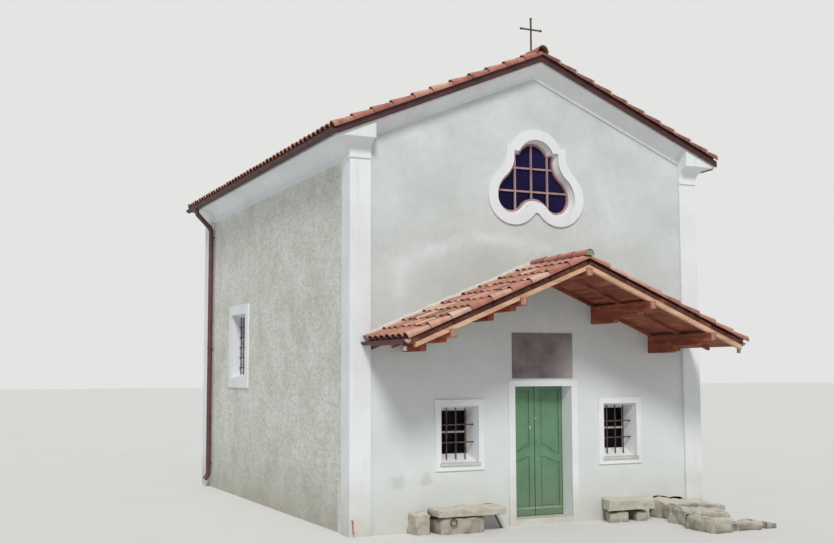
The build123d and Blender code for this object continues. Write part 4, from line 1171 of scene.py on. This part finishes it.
def pipe_bands():
    """Sockets and bands on the downpipes."""
    sheaf = Sheaf()
    for low, high in islands("downpipes"):
        side = 1 if low.x > 0 else -1
        x = side * (side_x + pipe_off_wall)
        y = (low.y + high.y) / 2
        for z in pipe_band_heights:
            ring_band(sheaf, Vector((x, y, z)), 0.049, 0.035, 0.005)
    sheaf.piece("downpipe_bands", "brown_pipe")


def gutter_straps():
    """Brackets that hold the eaves gutters, at even places under the tiles."""
    sheaf = Sheaf()
    for low, high in islands("eaves_gutters"):
        x = (low.x + high.x) / 2
        radius = (high.x - low.x) / 2
        outer = radius + strap_thickness
        profile = [(r, -strap_half) for r in (radius, outer)]
        profile += [(r, strap_half) for r in (outer, radius)]
        run = high.y - low.y - 2 * strap_from_end
        for index in range(strap_count):
            y = low.y + strap_from_end + run * index / (strap_count - 1)
            rings = []
            for across, rise in half_circle(strap_segments, math.pi):
                spoke = Vector((across, 0, rise))
                rings.append([Vector((x, y + half, high.z)) + spoke * r for r, half in profile])
            sheaf.loft(rings, closed=True, caps=True)
    sheaf.piece("gutter_straps", "dark_sheet_metal")


def spout_sleeves():
    """The bare sleeve on each canopy spout and the cap on each gutter's front end."""
    sheaf = Sheaf()
    for low, high in islands("canopy_gutters"):
        side = 1 if low.x > 0 else -1
        x = (high.x if side > 0 else low.x) - side * canopy_gutter_radius
        spout = Vector((x, low.y + 2 * canopy_gutter_radius, low.z + sleeve_lift))
        ring_band(sheaf, spout, 0.0275, 0.062, 0.0035)
        top = high.z - cap_drop
        outline = half_circle(cap_segments, math.pi)
        rings = [facing_ring(x, low.y - out, top, outline, r, r) for out, r in gutter_cap]
        sheaf.loft(rings, closed=True, flip=True)
    sheaf.piece("spout_sleeves", "dark_sheet_metal", finish="worn_zinc")


def escutcheon(name, body, x, z, width, height):
    """A small metal plate with a keyhole boss on a leaf's meeting stile."""
    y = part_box("door_leaf_left")[0].y + plate_clear
    rings = []
    for out, inset in plate_insets:
        sizes = (width / 2 - inset, height / 2 - inset)
        rings.append(facing_ring(x, y - out, z, square, *sizes))
    sheaf = Sheaf()
    sheaf.loft(rings, closed=True, caps=True)
    outline = circle(boss_segments)
    rings = [facing_ring(x, y - out, z, outline, r, r) for out, r in boss_profile]
    sheaf.loft(rings, closed=True)
    sheaf.piece(name, "wrought_iron", body, finish="bright_steel")


# Floor, light and camera

floor_half = 160
sky_colour = (0.96, 0.98, 1.0, 1)
sky_strength = 0.47
lamp_colour = (1.0, 0.975, 0.94)
lamp_strength = 1.9
lamp_spread = 14
lamp_direction = (0.41, 1.0, -0.9)
lamp_place = (-8, -18, 16)

# The photo's own view: where the camera is, and which way it looks
camera_x = -9.185
camera_before_front = 15.442
camera_height = 2.389
view_direction = (0.41630, 0.90483, 0.08966)
view_roll = -0.19
photo_lens = 48.28
sensor_width = 36
farthest = 400


def studio_floor():
    """A plain pale floor, level with the ground."""
    mesh = bpy.data.meshes.new("studio_floor")
    corners = [(floor_half * x, floor_half * y, 0) for x, y in square]
    mesh.from_pydata(corners, [], [(0, 1, 2, 3)])
    floor = linked("studio_floor", mesh)
    look = Finish("studio_floor", 0.95)
    look.two_tone(rgb(229, 229, 227), rgb(232, 232, 230), 0.5, 3)
    look.bump(look.noise(30, 3), 0.05, 0.002)
    mesh.materials.append(finishes["studio_floor"])


def studio_sky():
    """An even sky for the light, and a pale backdrop for the camera, reflections and glass."""
    world = bpy.data.worlds.new("studio")
    bpy.context.scene.world = world
    world.use_nodes = True
    tree = world.node_tree
    sky = tree.nodes["Background"]
    sky.inputs["Color"].default_value = sky_colour
    sky.inputs["Strength"].default_value = sky_strength
    backdrop = tree.nodes.new("ShaderNodeBackground")
    backdrop.inputs["Color"].default_value = rgb(228, 228, 227)
    path = tree.nodes.new("ShaderNodeLightPath")
    seen = path.outputs["Is Camera Ray"]
    for ray in ("Is Glossy Ray", "Is Transmission Ray"):
        more = tree.nodes.new("ShaderNodeMath")
        more.operation = "MAXIMUM"
        tree.links.new(seen, more.inputs[0])
        tree.links.new(path.outputs[ray], more.inputs[1])
        seen = more.outputs["Value"]
    either = tree.nodes.new("ShaderNodeMixShader")
    tree.links.new(seen, either.inputs[0])
    tree.links.new(sky.outputs[0], either.inputs[1])
    tree.links.new(backdrop.outputs[0], either.inputs[2])
    tree.links.new(either.outputs[0], tree.nodes["World Output"].inputs["Surface"])


def studio_lamp():
    """A soft lamp from the front left, where the sun is in the photo."""
    lamp = bpy.data.lights.new("soft_lamp", "SUN")
    lamp.energy = lamp_strength
    lamp.angle = math.radians(lamp_spread)
    lamp.color = lamp_colour
    key = linked("soft_lamp", lamp)
    key.rotation_euler = Vector(lamp_direction).to_track_quat("-Z", "Y").to_euler()
    key.location = lamp_place


def camera():
    """The photo's own viewpoint, worked out from its straight lines."""
    forward = Vector(view_direction).normalized()
    right = forward.cross(z_axis).normalized()
    up = right.cross(forward)
    roll = math.radians(view_roll)
    across = right * math.cos(roll) + up * math.sin(roll)
    above = up * math.cos(roll) - right * math.sin(roll)
    lens = bpy.data.cameras.new("photo_view")
    lens.lens = photo_lens
    lens.sensor_width = sensor_width
    lens.sensor_fit = "HORIZONTAL"
    lens.clip_end = farthest
    eye = linked("photo_view", lens)
    turn = Matrix((across, above, -forward)).transposed().to_4x4()
    place = (camera_x, front_y - camera_before_front, camera_height)
    eye.matrix_world = Matrix.Translation(place) @ turn
    bpy.context.scene.camera = eye


finish_the_frame()
for number, side in enumerate(("left", "right")):
    tile_slope("roof_tiles_" + side, roof_slope, roof_crown, roof_middle, seed=11 + number)
    slope = tile_slope(
        "canopy_tiles_" + side, canopy_slope, canopy_crown, canopy_middle, seed=21 + number
    )
    mortar_fillet("canopy_mortar_" + side, slope, seed=31 + number)
    canopy_planks("canopy_boards_" + side, seed=41 + number)
ridge_row("ridge_tiles", seed=51)
ridge_row("canopy_ridge_tiles", seed=52)
ridge_stopping("canopy_ridge_stopping", "canopy_ridge_tiles")
purlin_ends()
stones()
front_grilles()
side_grilles()
pipe_bands()
gutter_straps()
spout_sleeves()
escutcheon("latch_plate_left", "leaf_left", x=0.036, z=1.5, width=0.035, height=0.045)
escutcheon("latch_plate_right", "leaf_right", x=0.145, z=1.64, width=0.032, height=0.026)
studio_floor()
studio_sky()
studio_lamp()
camera()
bpy.context.scene.view_settings.view_transform = "Standard"
